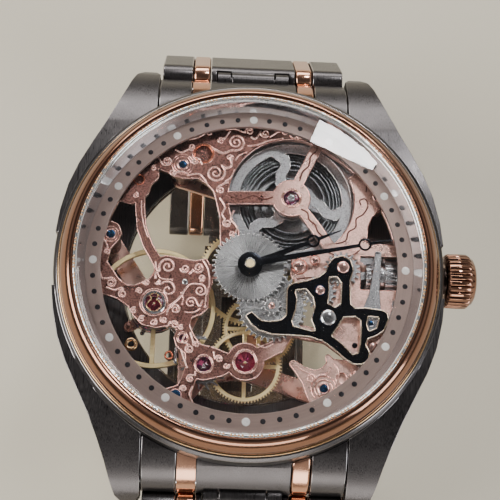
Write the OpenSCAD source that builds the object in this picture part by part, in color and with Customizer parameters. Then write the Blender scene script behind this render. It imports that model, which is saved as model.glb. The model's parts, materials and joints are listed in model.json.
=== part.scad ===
// Skeleton wristwatch: hand-wound movement in a round case on a steel bracelet that is closed round a wrist.
// Frame: origin at the centre of the case back's outer face, +Z out through the crystal,
// +Y towards 12 o'clock, +X towards the crown.

/* [Case] */
// Radius of the case body without its lugs
case_r = 21.5; // [21.3:0.1:21.7]
// Height of the case's top deck above the case back
deck_z = 8.75; // [8.7:0.05:8.9]
// Radius of the bezel where it meets the case
bezel_r = 20.6; // [20.4:0.1:20.8]
// Height of the bezel above the case back
bezel_z = 10.9; // [10.8:0.1:11]
// Space between the lugs
lug_gap = 22.1; // [22.1:0.1:22.3]

/* [Dial] */
// Radius of the minute track
track_r = 17.05; // [17:0.05:17.1]
// Inner radius of the chapter ring
chapter_in = 16.2; // [16.15:0.05:16.3]
// Outer radius of the chapter ring
chapter_out = 17.9; // [17.8:0.05:17.9]
// Height of the chapter ring's top face
chapter_z = 8.0; // [7.95:0.05:8.05]
// Angle of the minute hand from 3 o'clock, counter-clockwise
minute_angle = 12; // [0:1:30]
// Angle of the hour hand from 3 o'clock, counter-clockwise
hour_angle = 23.5; // [15:0.5:60]

/* [Crown] */
// Radius of the crown
crown_r = 3.1; // [3:0.1:3.2]
// Number of flutes round the crown
crown_flutes = 28; // [24:1:32]

/* [Bracelet] */
// Distance between the hinge pins of one row
row_pitch = 9; // [9:0.1:9.2]
// Thickness of a row
row_t = 3; // [2.8:0.1:3]
// Width of the row next to the case
row_w = 21.6; // [21.4:0.1:21.6]
// Loss of width from one row to the next
row_taper = 0.5; // [0.3:0.1:0.6]

/* [Hidden] */
$fn = 48;

// colours
steel = [0.36, 0.36, 0.38];
polished = [0.75, 0.75, 0.77];
grey_gear = [0.55, 0.56, 0.58];
rose = [0.78, 0.50, 0.42];
rose_dark = [0.62, 0.36, 0.30];
brass = [0.80, 0.68, 0.38];
black = [0.06, 0.06, 0.08];
blued = [0.10, 0.18, 0.35];
ruby = [0.60, 0.15, 0.40];
mauve = [0.45, 0.36, 0.35];
clear = [0.85, 0.90, 0.92, 0.3];

// axes of the movement
barrel_at = [4.5, 8.35];
third_at = [1.31, -6.16];
fourth_at = [-0.2, -10.4];
escape_at = [-4.6, -10.8];
pallet_at = [-7.0, -8.0];
balance_at = [-10.25, -4.2];
minute_at = [2.5, -4.33];
setting_at = [7.7, -2.5];
inter_at = [10.2, 0.2];
crown_wheel_at = [12.2, 1.2];
yoke_at = [13.3, -5.8];
lever_at = [16.2, -3.6];
click_at = [-2.6, 13.2];
pillars = [[-7.8, 11.9], [14.3, 9.0], [13.5, -8.3], [8.3, -13.0], [-7.5, -14.2], [-15.4, 3.4]];

// tooth counts
barrel_teeth = 78;
centre_pinion_teeth = 12;
centre_teeth = 80;
third_pinion_teeth = 10;
third_teeth = 75;
fourth_pinion_teeth = 10;
fourth_teeth = 70;
escape_pinion_teeth = 7;
escape_teeth = 15;
cannon_teeth = 12;
minute_teeth = 36;
minute_pinion_teeth = 11;
hour_teeth = 44;
setting_teeth = 17;
inter_teeth = 18;
ratchet_teeth = 65;
crown_wheel_teeth = 40;

// heights of the layers, from the case back up
back_top = 1.5;
bridge_z = [1.6, 2.2];
ratchet_z = [2.3, 2.65];
centre_z = [2.85, 3.1];
third_z = [3.6, 3.85];
fourth_z = [4.3, 4.55];
escape_z = [4.95, 5.2];
rim_z = [3.95, 4.4];
drum_z = [3.2, 5.0];
flange_z = 4.6;
cover_z = 5.3;
plate_z = [5.6, 6.6];
work_z = [6.7, 6.95];
hour_z = [7.05, 7.35];
lever_z = [6.65, 7.05];
black_z = [7.1, 7.45];
hour_hand_z = [7.95, 8.12];
minute_hand_z = [8.4, 8.55];
stem_z = 4.8;

// shared fits
running = 0.05;
plate_r = 18.3;
plate_hole_r = 18.4;
opening_r = 7.1;
drum_r = 6.9;
groove_x = 14.05;

function dist(p, q) = norm(q - p);
function heading(p, q) = atan2(q[1] - p[1], q[0] - p[0]);
function gear_module(p, q, n1, n2) = 2 * dist(p, q) / (n1 + n2);
// turn that puts a gap of the second gear opposite a tooth of the first
function mesh_turn(p, q, n1, n2, turn1) =
    heading(p, q) + 180 - 180 / n2 + (heading(p, q) - turn1) * n1 / n2;
function polar(r, a) = [r * cos(a), r * sin(a)];

// ---- drawing helpers ----

module slab(z) {
    translate([0, 0, z[0]]) linear_extrude(z[1] - z[0]) children();
}

module ring_2d(ro, ri) {
    difference() {
        circle(ro);
        circle(ri);
    }
}

module disc_at(p, r, z) {
    translate([p[0], p[1], z[0]]) cylinder(r = r, h = z[1] - z[0]);
}

// stroke with round joints, a hair wider there than its straight runs
module stroke_2d(points, w) {
    for (p = points) translate(p) circle(w / 2);
    for (i = [0 : len(points) - 2]) translate(points[i])
        rotate(heading(points[i], points[i + 1])) translate([0, -0.49 * w])
            square([dist(points[i], points[i + 1]), 0.98 * w]);
}

// polygon with its corners rounded
module soft_2d(points, r = 0.25) {
    offset(r = r, $fn = 16) offset(r = -2 * r, $fn = 16) offset(r = r, $fn = 16) polygon(points);
}

// One tooth has a flat tip, straight flanks and a flat root. Widths are shares of half the pitch.
function tooth(r, m, add, ded, tip, mid, root, half) = [
    [r - ded * m, -root * half], [r, -mid * half], [r + add * m, -tip * half],
    [r + add * m, tip * half], [r, mid * half], [r - ded * m, root * half]
];

module toothed_2d(n, m, add, ded, tip, mid, root) {
    polygon([
        for (k = [0 : n - 1])
            for (p = tooth(m * n / 2, m, add, ded, tip, mid, root, 180 / n))
                polar(p[0], 360 * k / n + p[1])
    ]);
}

module wheel_teeth_2d(n, m) {
    toothed_2d(n, m, 0.75, 1.35, 0.16, 0.40, 0.50);
}

module pinion_2d(n, m) {
    toothed_2d(n, m, 0.55, 1.25, 0.16, 0.34, 0.34);
}

// toothed wheel with a rim, a hub and straight spokes
module spoked_2d(n, m, rim, hub, spokes, w) {
    inner = m * n / 2 - 1.35 * m - rim;
    difference() {
        wheel_teeth_2d(n, m);
        circle(inner);
    }
    circle(hub);
    for (k = [0 : spokes - 1])
        rotate(360 * k / spokes) translate([0, -w / 2]) square([inner + rim / 2, w]);
}

// arbor with a thin pivot at each end
module arbor(r, z, pivot_r, pivot_z) {
    translate([0, 0, z[0]]) cylinder(r = r, h = z[1] - z[0], $fn = 24);
    translate([0, 0, pivot_z[0]]) cylinder(r = pivot_r, h = pivot_z[1] - pivot_z[0], $fn = 24);
}

// spiral strip: radius grows from r0 to r1 as a power of the share of its length
function spiral_r(r0, r1, power, t) = r0 + (r1 - r0) * pow(t, power);
module spiral_2d(r0, r1, turns, power, thick, steps) {
    outer = [for (i = [0 : steps]) polar(spiral_r(r0, r1, power, i / steps) + thick / 2,
        360 * turns * i / steps)];
    inner = [for (i = [steps : -1 : 0]) polar(spiral_r(r0, r1, power, i / steps) - thick / 2,
        360 * turns * i / steps)];
    polygon(concat(outer, inner));
}

// ---- case ----

case_profile = [
    [plate_hole_r, 1.65], [plate_hole_r, 7.45], [18.95, 7.45], [18.95, deck_z],
    [case_r - 0.5, deck_z], [case_r - 0.12, deck_z - 0.35], [case_r, deck_z - 1.2],
    [case_r, 4.2], [case_r - 0.3, 2.4], [case_r - 0.9, 1.3], [case_r - 1.6, 0.8],
    [19.55, 0.8], [19.55, 1.65]
];

// half of one lug seen from above, from the case out to its tip
lug_outline = [
    [lug_gap / 2, 11], [lug_gap / 2, 24.6], [lug_gap / 2 + 0.5, 25.3], [12.9, 25.3], [13.7, 24.7],
    [14.2, 23.4], [14.8, 21.4], [15.6, 19.2], [16.7, 16.6], [18.0, 14.0], [19.4, 11.2],
    [20.4, 8.6], [21.1, 5.6], [21.4, 3.0], [18.6, 3.0], [15.0, 11]
];

// side view of a lug: y, z
lug_side = [
    [2, 1.8], [10, 1.3], [16, 0.9], [21, 0.4], [24, 0.3], [25.1, 0.8], [25.5, 1.7], [25.2, 2.9],
    [24.3, 4.1], [23, 5.2], [21.4, 6.2], [19.4, 7.1], [17, 7.8], [14, 8.25], [10, 8.45], [2, 8.5]
];

bar_at = [22.65, 3.0];
bar_r = 0.75;
end_link_w = lug_gap - 0.2;

module lug() {
    intersection() {
        linear_extrude(9) polygon(lug_outline);
        rotate([90, 0, 90]) linear_extrude(24) polygon(lug_side);
    }
}

module case_middle() {
    color(steel) difference() {
        union() {
            rotate_extrude($fn = 120) polygon(case_profile);
            for (sx = [0, 1]) for (sy = [0, 1])
                mirror([sx, 0, 0]) mirror([0, sy, 0]) difference() {
                    lug();
                    translate([0, 0, -1]) cylinder(r = 20, h = 12, $fn = 120);
                }
            translate([case_r - 0.4, 0, stem_z]) rotate([0, 90, 0]) cylinder(r = 1.5, h = 1.1);
        }
        translate([17, 0, stem_z]) rotate([0, 90, 0]) cylinder(r = 0.8, h = 7);
        for (sy = [-1, 1]) translate([-12.4, sy * bar_at[0], bar_at[1]])
            rotate([0, 90, 0]) cylinder(r = bar_r, h = 24.8);
    }
}

module bezel() {
    profile = [
        [19.05, deck_z], [bezel_r, deck_z], [bezel_r + 0.05, deck_z + 0.25],
        [bezel_r - 0.05, deck_z + 0.7], [bezel_r - 0.35, deck_z + 1.25],
        [bezel_r - 0.75, bezel_z - 0.4], [bezel_r - 1.15, bezel_z - 0.08],
        [bezel_r - 1.4, bezel_z], [19.05, bezel_z - 0.1]
    ];
    color(rose_dark) rotate_extrude($fn = 120) polygon(profile);
}

crystal_r = 18.7;
crystal_z = 9.65;

module crystal() {
    color(clear) rotate_extrude($fn = 120) polygon([
        [0, crystal_z], [crystal_r, crystal_z], [crystal_r, 10.75], [18.4, 10.95],
        [14, 11.22], [9, 11.42], [4, 11.52], [0, 11.55]
    ]);
}

module case_gaskets() {
    color([0.85, 0.85, 0.82]) {
        rotate_extrude($fn = 120) translate([crystal_r, crystal_z]) square([0.35, 1.0]);
        rotate_extrude($fn = 120) translate([18.7, back_top]) square([0.6, 0.15]);
    }
}

module rehaut_ring() {
    color(polished) rotate_extrude($fn = 120) polygon([
        [chapter_out, 7.5], [18.9, 7.5], [18.9, crystal_z], [18.55, crystal_z],
        [18.2, 8.6], [chapter_out, 8.15]
    ]);
}

module chapter_ring() {
    color(mauve) {
        slab([7.5, chapter_z]) ring_2d(chapter_out, chapter_in, $fn = 120);
        for (a = [90, 160, 285]) translate([17.5 * cos(a), 17.5 * sin(a), plate_z[1]])
            cylinder(r = 0.3, h = 7.5 - plate_z[1], $fn = 24);
    }
}

glass_r = 14;
back_in = 1.15;
notches = 6;

module case_back() {
    color(steel) difference() {
        rotate_extrude($fn = 120) polygon([
            [glass_r, 0], [18.5, 0], [19.5, 0.8], [19.5, back_top], [17.7, back_top],
            [17.7, back_in], [glass_r, back_in]
        ]);
        for (k = [0 : notches - 1]) rotate(360 * k / notches + 30)
            translate([17.6, -0.8, -1]) cube([3, 1.6, 1.5]);
    }
}

module case_back_glass() {
    color(clear) cylinder(r = glass_r, h = 1.1, $fn = 120);
}

module spring_bars() {
    color(polished) for (sy = [-1, 1])
        translate([-12.3, sy * bar_at[0], bar_at[1]]) rotate([0, 90, 0]) cylinder(r = bar_r, h = 24.6);
}

// ---- crown and keyless work ----

module along_x(x) {
    translate([x[0], 0, stem_z]) rotate([0, 90, 0]) linear_extrude(x[1] - x[0]) children();
}

module crown() {
    color(rose_dark) difference() {
        union() {
            along_x([22.0, 24.9]) difference() {
                circle(crown_r);
                for (k = [0 : crown_flutes - 1]) rotate(360 * k / crown_flutes)
                    translate([crown_r + 0.05, 0]) circle(0.2, $fn = 16);
            }
            along_x([24.9, 25.5]) circle(crown_r - 0.3);
        }
        along_x([21, 23.2]) circle(1.65);
    }
}

module winding_stem() {
    color(polished) {
        along_x([11.3, 12.4]) circle(0.45);
        along_x([12.4, 15.0]) square(0.86, center = true);
        along_x([15.0, 16.65]) circle(0.72);
        along_x([16.65, 17.15]) circle(0.45);
        along_x([17.15, 23.2]) circle(0.72);
    }
}

module winding_pinion() {
    color(polished) difference() {
        union() {
            along_x([15.1, 16.5]) toothed_2d(16, 0.2, 0.75, 1.2, 0.3, 0.5, 0.6);
            along_x([15.05, 15.1]) circle(1.3);
        }
        along_x([14, 18]) circle(0.76);
    }
}

module sliding_pinion() {
    color(polished) difference() {
        union() {
            along_x([13.0, 13.6]) toothed_2d(16, 0.17, 0.75, 1.2, 0.3, 0.5, 0.6);
            along_x([13.6, 14.5]) circle(0.85);
            along_x([14.5, 14.98]) circle(1.5);
        }
        along_x([12, 16]) circle(0.66);
    }
}

module crown_wheel() {
    m = gear_module(barrel_at, crown_wheel_at, ratchet_teeth, crown_wheel_teeth);
    turn = mesh_turn(barrel_at, crown_wheel_at, ratchet_teeth, crown_wheel_teeth, 0);
    color(polished) translate(crown_wheel_at) rotate(turn) difference() {
        union() {
            slab(ratchet_z) wheel_teeth_2d(crown_wheel_teeth, m);
            slab([ratchet_z[1], 3.0]) difference() {
                toothed_2d(40, 0.19, 0.2, 1.2, 0.4, 0.5, 0.5);
                circle(3.3);
            }
        }
        translate([0, 0, 2]) cylinder(r = 1.25, h = 2);
    }
}

module ratchet_wheel() {
    m = gear_module(barrel_at, crown_wheel_at, ratchet_teeth, crown_wheel_teeth);
    color(polished) translate(barrel_at) slab(ratchet_z) difference() {
        wheel_teeth_2d(ratchet_teeth, m);
        circle(0.9);
    }
}

module click() {
    tip = [-1.15, 12.45];
    color(polished) difference() {
        slab(ratchet_z) {
            translate(click_at) circle(0.8);
            polygon([click_at + [-0.1, 0.75], tip + [0.25, 0.1], tip, click_at + [-0.68, -0.34]]);
        }
        disc_at(click_at, 0.36, [2, 3]);
    }
}

module setting_lever() {
    color(steel) difference() {
        union() {
            slab([6.65, 7.0]) {
                translate(lever_at) circle(0.6);
                stroke_2d([lever_at, [16.9, 0]], 0.6);
                stroke_2d([lever_at, [15.6, -5.2]], 0.7);
            }
            disc_at([16.9, 0], 0.2, [5.35, 6.65]);
        }
        disc_at(lever_at, 0.3, [6, 8]);
    }
}

module yoke() {
    outline = [
        [13.85, 2.3], [14.5, 2.3], [14.4, 0], [14.25, -2.2], [14.4, -4.6], [14.2, -6.4],
        [12.9, -6.7], [12.3, -5.8], [12.5, -4.2], [13.2, -2.4], [13.65, 0]
    ];
    color(steel) difference() {
        union() {
            slab(lever_z) soft_2d(outline, 0.15);
            translate([groove_x - 0.2, -0.35, 5.9]) cube([0.4, 0.7, lever_z[0] - 5.9]);
        }
        disc_at(yoke_at, 0.35, [6, 8]);
    }
}

setting_module = gear_module([0, 0], minute_at, cannon_teeth, minute_teeth);
cannon_turn = 0;
minute_turn = mesh_turn([0, 0], minute_at, cannon_teeth, minute_teeth, cannon_turn);
setting_turn = mesh_turn(minute_at, setting_at, minute_teeth, setting_teeth, minute_turn);

module setting_wheel() {
    color(grey_gear) translate(setting_at) rotate(setting_turn) slab(work_z) difference() {
        wheel_teeth_2d(setting_teeth, setting_module);
        circle(0.35);
    }
}

module intermediate_wheel() {
    m = gear_module(setting_at, inter_at, setting_teeth, inter_teeth);
    turn = mesh_turn(setting_at, inter_at, setting_teeth, inter_teeth, setting_turn);
    color(grey_gear) translate(inter_at) rotate(turn) slab(work_z) difference() {
        wheel_teeth_2d(inter_teeth, m);
        circle(0.35);
    }
}

cover_outline = [
    [0.3, -5.1], [-0.3, -5.5], [0.3, -6.4], [1.2, -7.1], [2.6, -7.5], [4.6, -7.5], [6.6, -7.6],
    [8.0, -8.0], [9.2, -8.8], [10.4, -9.8], [11.3, -10.4], [12.3, -10.4], [13.0, -9.9],
    [13.1, -9.0], [12.7, -8.2], [12.9, -7.6], [13.9, -7.2], [14.7, -6.6], [15.2, -5.3],
    [15.1, -4.7], [14.6, -4.4], [12.7, -4.2], [11.6, -4.3], [11.1, -3.8], [11.0, -1.2],
    [11.4, 0.1], [11.1, 1.1], [10.2, 1.6], [9.2, 1.3], [8.6, 0.6], [8.3, -0.3], [7.6, -0.9],
    [6.3, -1.4], [4.9, -1.7], [4.3, -2.0], [4.1, -2.6], [4.1, -5.3], [3.5, -5.9], [2.3, -6.1],
    [1.4, -6.0], [0.8, -5.5]
];
cover_windows = [
    [[5.0, -2.5], [6.2, -2.3], [7.0, -3.2], [7.2, -4.2], [6.8, -5.6], [7.3, -6.9], [6.8, -7.0],
        [4.9, -6.5], [4.7, -5.9], [5.1, -4.6], [5.2, -3.4]],
    [[8.7, -0.9], [9.6, -0.8], [10.1, -1.5], [10.0, -3.8], [9.3, -4.3], [8.6, -3.8], [8.7, -2.4]],
    [[10.3, -5.3], [9.7, -6.3], [9.0, -7.4], [10.2, -8.3], [11.3, -9.4], [11.9, -9.2],
        [12.1, -8.2], [12.2, -7.0], [12.2, -5.6], [11.6, -5.2]],
    [[13.0, -5.1], [14.2, -5.2], [13.9, -6.4], [13.1, -6.8], [12.8, -6.0]]
];
// centres of the screws and studs that come up through the setting cover
cover_studs = [[10.2, 0.2], [7.7, -2.5], [8.6, -5.5]];
cover_stud_r = [0.7, 0.6, 0.9];

module setting_cover() {
    color(black) difference() {
        slab(black_z) difference() {
            soft_2d(cover_outline, 0.2);
            for (w = cover_windows) soft_2d(w, 0.15);
        }
        for (p = cover_studs) disc_at(p, 0.4, [7, 8]);
    }
}

// ---- plates and bridges ----

upper_area = [
    [-11.3, 12.6], [-10.9, 11.4], [-9.4, 10.9], [-8.8, 10.5], [-7.6, 10.2], [-6.0, 10.3],
    [-5.0, 9.7], [-4.2, 8.8], [-3.8, 7.4], [-3.4, 5.8], [-3.2, 2.0], [-1.4, 2.0], [-1.2, 4.8],
    [-0.5, 9], [2, 14], [7, 15.2], [9.2, 15.0], [5, 17.2], [-4, 17.2], [-9, 15], [-12, 12.5]
];
right_area = [
    [12.4, 12.2], [14.6, 9.9], [15.6, 8.0], [14.6, 7.5], [13.6, 6.6], [13.1, 5.4], [12.9, 3.0],
    [8.6, 2.2], [9.4, 5.2], [10.8, 7.2], [11.0, 11.0]
];
keyless_area = [
    [4.6, 1.3], [5.6, 2.1], [8.4, 2.8], [12.9, 3.4], [17, 3.2], [17.5, -5], [14.6, -9.8],
    [12.4, -10.7], [11.0, -9.9], [9.2, -8.6], [8.2, -7.9], [7.6, -6.6], [7.4, -4.3], [6.6, -3.0],
    [6.6, -1.6], [5.2, -1.5], [4.6, -0.6]
];
lower_arm = [
    [8.3, -8.8], [9.3, -9.8], [10.4, -9.9], [11.4, -10.2], [13.9, -11.6], [8.0, -16.4],
    [6.6, -14.0], [6.0, -12.4], [5.2, -11.2], [4.4, -10.2], [5.1, -10.1], [6.2, -10.8],
    [7.3, -11.1], [8.1, -10.8], [8.6, -10.2]
];
balance_area = [
    [-10.4, 0.7], [-9.2, 1.1], [-7.4, 0.8], [-5.9, 0.6], [-4.7, 0.9], [-4.3, 0], [-4.0, -1.8],
    [-4.4, -3.0], [-4.4, -4.6], [-5.2, -5.4], [-6.2, -5.8], [-6.3, -6.6], [-5.8, -7.7],
    [-5.0, -8.7], [-3.6, -9.0], [-2.0, -9.6], [-1.6, -11.4], [-2.6, -12.0], [-4.0, -12.4],
    [-5.4, -12.4], [-5.7, -13.4], [-5.9, -14.4], [-5.4, -16.6], [-9.6, -15.0], [-8.6, -13.6],
    [-7.4, -13.2], [-6.9, -12.3], [-6.5, -11.0], [-6.6, -9.7], [-7.6, -8.9], [-7.9, -8.0],
    [-7.6, -7.1], [-8.4, -6.7], [-10.0, -7.0], [-11.4, -6.7], [-12.4, -5.7], [-13.0, -4.7],
    [-14.2, -3.9], [-16.9, -3.0], [-16.9, 0.3], [-15.7, 0.3], [-15.0, -0.6], [-14.2, -1.7],
    [-13.3, -2.4], [-12.4, -2.4], [-11.0, -1.7], [-10.4, -0.8]
];
side_area = [
    [-15.6, 7.6], [-13.4, 7.0], [-12.6, 7.2], [-11.5, 8.3], [-11.2, 9.4], [-10.4, 10.3],
    [-10.6, 11.6], [-12.4, 13.2], [-14.6, 10.8]
];
screw_boss = [
    [-17, 5.8], [-15.7, 5.0], [-14.6, 4.5], [-14.2, 3.6], [-14.5, 2.8], [-15.3, 1.8],
    [-15.6, 0.2], [-17, 0.2]
];

module main_plate_2d() {
    ring_2d(plate_r, 16.4, $fn = 120);
    difference() {
        union() {
            soft_2d(upper_area);
            soft_2d(right_area);
            soft_2d(keyless_area);
        }
        translate(barrel_at) circle(opening_r);
    }
    // three-arm spider over the barrel
    translate(barrel_at) circle(2.1);
    stroke_2d([barrel_at, [-2.9, 8.1]], 1.5);
    stroke_2d([[5.0, 9.6], [6.4, 12.6], [7.5, 15.0], [8.0, 15.7]], 1.15);
    stroke_2d([[5.4, 7.4], [7.0, 5.4], [8.2, 3.7], [9.2, 2.4]], 1.2);
    // centre boss and the arms under the motion work
    circle(2.2);
    stroke_2d([[-4.8, -0.6], [0, 0]], 1.6);
    stroke_2d([[-2.4, 3], [0, 0]], 1.6);
    stroke_2d([[0, 0], minute_at, [4.4, -6.7], [8.4, -7.3]], 1.4);
    stroke_2d([minute_at, third_at], 1.6);
    stroke_2d([fourth_at, [3.2, -8.6], [4.4, -6.7]], 1.5);
    stroke_2d([fourth_at, [-2.4, -10.9], escape_at], 1.6);
    for (p = [minute_at, third_at]) translate(p) circle(1.1);
    translate(fourth_at) circle(2.0);
    translate(escape_at) circle(1.7);
    soft_2d(balance_area);
    soft_2d(lower_arm);
    soft_2d(side_area);
    soft_2d(screw_boss);
    stroke_2d([[-12.4, 8.6], [-12.3, 6.4], [-12.0, 4.2], [-11.2, 2.2], [-10.0, 0.2]], 1.0);
}

plate_recesses = [[-5.5, 13.3, 1.25], [10.2, -11.8, 0.6], [-12.6, 9.9, 0.6]];

module main_plate() {
    color(rose) difference() {
        union() {
            slab(plate_z) main_plate_2d();
            rotate_extrude($fn = 120) translate([18.0, back_top]) square([0.3, plate_z[0] - back_top]);
            for (p = pillars) disc_at(p, 1.05, [bridge_z[1], plate_z[0]]);
            translate([11.2, -1, 4.0]) cube([0.85, 2, plate_z[0] - 4.0]);
        }
        translate([12.2, -1.95, 0]) cube([8, 3.9, 7]);
        along_x([11, 13]) circle(0.5);
        cylinder(r = 0.48, h = 9);
        disc_at(barrel_at, 0.95, [5, 7]);
        disc_at(third_at, 0.7, [5, 7]);
        disc_at(fourth_at, 1.15, [5, 7]);
        disc_at(escape_at, 0.87, [5, 7]);
        disc_at(pallet_at, 0.45, [5, 7]);
        disc_at(balance_at, 1.3, [5, 7]);
        for (p = pillars) {
            disc_at(p, 0.62, [6.25, 7]);
            disc_at(p, 0.35, [1, 7]);
        }
        for (p = plate_recesses) disc_at([p[0], p[1]], p[2], [6.2, 7]);
    }
}

module bridge_holes(points) {
    for (p = points) disc_at(p, 0.35, [1, 3]);
}

module barrel_bridge() {
    color(rose) difference() {
        union() {
            slab(bridge_z) {
                stroke_2d([pillars[0], barrel_at], 2.6);
                stroke_2d([barrel_at, pillars[1]], 2);
                stroke_2d([barrel_at, crown_wheel_at, pillars[2]], 2.6);
                translate(barrel_at) circle(3.4);
                translate(crown_wheel_at) circle(2.2);
                stroke_2d([click_at, barrel_at], 2.2);
            }
            disc_at(crown_wheel_at, 1.2, [bridge_z[1], 3.0]);
            disc_at(click_at, 0.3, [bridge_z[1], ratchet_z[1]]);
        }
        disc_at(barrel_at, 1.0, [1, 3]);
        bridge_holes([pillars[0], pillars[1], pillars[2]]);
    }
}

module train_bridge() {
    color(rose) difference() {
        slab(bridge_z) {
            stroke_2d([pillars[3], fourth_at, escape_at, pillars[4]], 2.2);
            stroke_2d([fourth_at, third_at, [0, 0]], 2.4);
            circle(2.0);
        }
        disc_at([0, 0], 0.9, [1, 3]);
        disc_at(third_at, 0.7, [1, 3]);
        disc_at(fourth_at, 0.8, [1, 3]);
        disc_at(escape_at, 0.7, [1, 3]);
        bridge_holes([pillars[3], pillars[4]]);
    }
}

module balance_cock() {
    stud_at = balance_at + [-2.75, -1.7];
    color(rose) difference() {
        union() {
            slab(bridge_z) {
                stroke_2d([pillars[5], balance_at], 2.4);
                translate(balance_at) circle(2.3);
            }
            disc_at(balance_at, 1.3, [1.25, bridge_z[0]]);
            disc_at(stud_at, 0.3, [bridge_z[1], 3.5]);
            slab(bridge_z) stroke_2d([balance_at, stud_at], 1.2);
        }
        disc_at(balance_at, 0.9, [1, 3]);
        bridge_holes([pillars[5]]);
    }
}

module pallet_cock() {
    feet = [[-5.8, -5.1], [-6.9, -12.75]];
    color(rose) difference() {
        union() {
            slab([4.6, 4.85]) stroke_2d([feet[0], pallet_at, feet[1]], 0.9);
            for (p = feet) disc_at(p, 0.35, [4.85, plate_z[0]]);
        }
        disc_at(pallet_at, 0.3, [4, 5]);
    }
}

// slotted screw head: head below z_top, shank below that
module screw(p, head_r, z_top, head_h, shank_r, shank_h) {
    translate([p[0], p[1], z_top - head_h]) difference() {
        cylinder(r = head_r, h = head_h);
        rotate(p[0] * 40) translate([-head_r, -0.09, head_h - 0.15]) cube([2 * head_r, 0.18, 1]);
    }
    disc_at(p, shank_r, [z_top - head_h - shank_h, z_top - head_h]);
}

module movement_screws() {
    color(blued) for (p = pillars) {
        screw(p, 0.6, 6.6, 0.35, 0.35, 1.5);
        mirror([0, 0, 1]) screw(p, 0.7, -1.28, 0.32, 0.35, 1.8);
    }
    // screws and studs of the motion work and keyless work
    color(polished) {
        for (i = [0 : 2]) screw(cover_studs[i], cover_stud_r[i], 7.75, 0.3, 0.3, 0.85);
        disc_at(minute_at, 0.3, [plate_z[1], 7.5]);
        disc_at(yoke_at, 0.3, [plate_z[1], 7.09]);
        disc_at(lever_at, 0.25, [plate_z[1], 7.2]);
    }
}

module jewel(p, r, hole, z) {
    translate([p[0], p[1], z[0]]) difference() {
        cylinder(r = r, h = z[1] - z[0]);
        translate([0, 0, -1]) cylinder(r = hole, h = 3, $fn = 24);
    }
}

module train_jewels() {
    color(ruby) {
        jewel(barrel_at, 0.95, 0.47, [6.05, 6.55]);
        jewel(third_at, 0.7, 0.16, [6.1, 6.55]);
        jewel(fourth_at, 1.15, 0.16, [6.1, 6.55]);
        jewel(escape_at, 0.87, 0.16, [6.1, 6.55]);
        jewel(pallet_at, 0.45, 0.14, [6.1, 6.55]);
        jewel([0, 0], 0.9, 0.2, [1.65, 2.15]);
        jewel(third_at, 0.7, 0.16, [1.65, 2.15]);
        jewel(fourth_at, 0.8, 0.16, [1.65, 2.15]);
        jewel(escape_at, 0.7, 0.16, [1.65, 2.15]);
        jewel(pallet_at, 0.3, 0.14, [4.62, 4.83]);
    }
}

module shock_settings() {
    color(polished) {
        jewel(balance_at, 1.3, 0.14, [6.0, 6.5]);
        translate(balance_at) slab([6.5, 6.75]) ring_2d(1.3, 0.95);
        jewel(balance_at, 0.9, 0.14, [1.4, 2.0]);
    }
}

// ---- barrel ----

module barrel_drum() {
    m = gear_module([0, 0], barrel_at, centre_pinion_teeth, barrel_teeth);
    turn = mesh_turn([0, 0], barrel_at, centre_pinion_teeth, barrel_teeth, 0);
    color(grey_gear) translate(barrel_at) {
        difference() {
            union() {
                slab(drum_z) circle(drum_r, $fn = 96);
                rotate(turn) slab([flange_z, drum_z[1]]) wheel_teeth_2d(barrel_teeth, m);
            }
            translate([0, 0, 3.6]) cylinder(r = drum_r - 0.45, h = 3, $fn = 96);
            cylinder(r = 1.0, h = 9);
        }
    }
}

// spoked cover: three curved arms between a hub and a rim
module barrel_cover() {
    color(grey_gear) translate(barrel_at) difference() {
        slab([drum_z[1], cover_z]) {
            ring_2d(drum_r, drum_r - 1.05, $fn = 96);
            circle(2.2);
            for (a = [100, -15, -140]) rotate(a)
                stroke_2d([for (t = [0 : 0.2 : 1]) [1.5 + 4.6 * t, 0.75 * sin(360 * t) + 0.9 * t * t]], 1.15);
        }
        cylinder(r = 0.8, h = 9);
    }
}

module mainspring() {
    color([0.5, 0.5, 0.55]) translate(barrel_at) slab([3.7, 4.85])
        spiral_2d(1.5, drum_r - 0.55, 8, 0.35, 0.1, 176);
}

module barrel_arbor() {
    color(polished) translate(barrel_at) difference() {
        union() {
            translate([0, 0, 2.3]) cylinder(r = 0.9, h = 1.4);
            translate([0, 0, 1.3]) cylinder(r = 0.95, h = 1.0);
            translate([0, 0, 3.7]) cylinder(r = 1.35, h = 1.2);
            translate([0, 0, 4.9]) cylinder(r = 0.75, h = 0.85);
            translate([0, 0, 5.75]) cylinder(r = 0.42, h = 0.8);
        }
        translate([-1, -0.08, 6.42]) cube([2, 0.16, 1]);
    }
}

// ---- going train ----

module centre_wheel() {
    m = gear_module([0, 0], third_at, centre_teeth, third_pinion_teeth);
    mp = gear_module([0, 0], barrel_at, centre_pinion_teeth, barrel_teeth);
    color(brass) {
        slab(centre_z) spoked_2d(centre_teeth, m, 0.45, 1.0, 4, 0.6);
        slab([4.5, 5.1]) pinion_2d(centre_pinion_teeth, mp);
        arbor(0.43, [2.3, 8.85], 0.15, [1.7, 2.3]);
    }
}

module third_wheel() {
    m = gear_module(third_at, fourth_at, third_teeth, fourth_pinion_teeth);
    mp = gear_module([0, 0], third_at, centre_teeth, third_pinion_teeth);
    color(brass) translate(third_at) {
        rotate(mesh_turn([0, 0], third_at, centre_teeth, third_pinion_teeth, 0))
            slab([2.75, 3.2]) pinion_2d(third_pinion_teeth, mp);
        slab(third_z) spoked_2d(third_teeth, m, 0.4, 0.7, 4, 0.45);
        arbor(0.3, [2.4, 5.4], 0.11, [1.7, 6.5]);
    }
}

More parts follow.
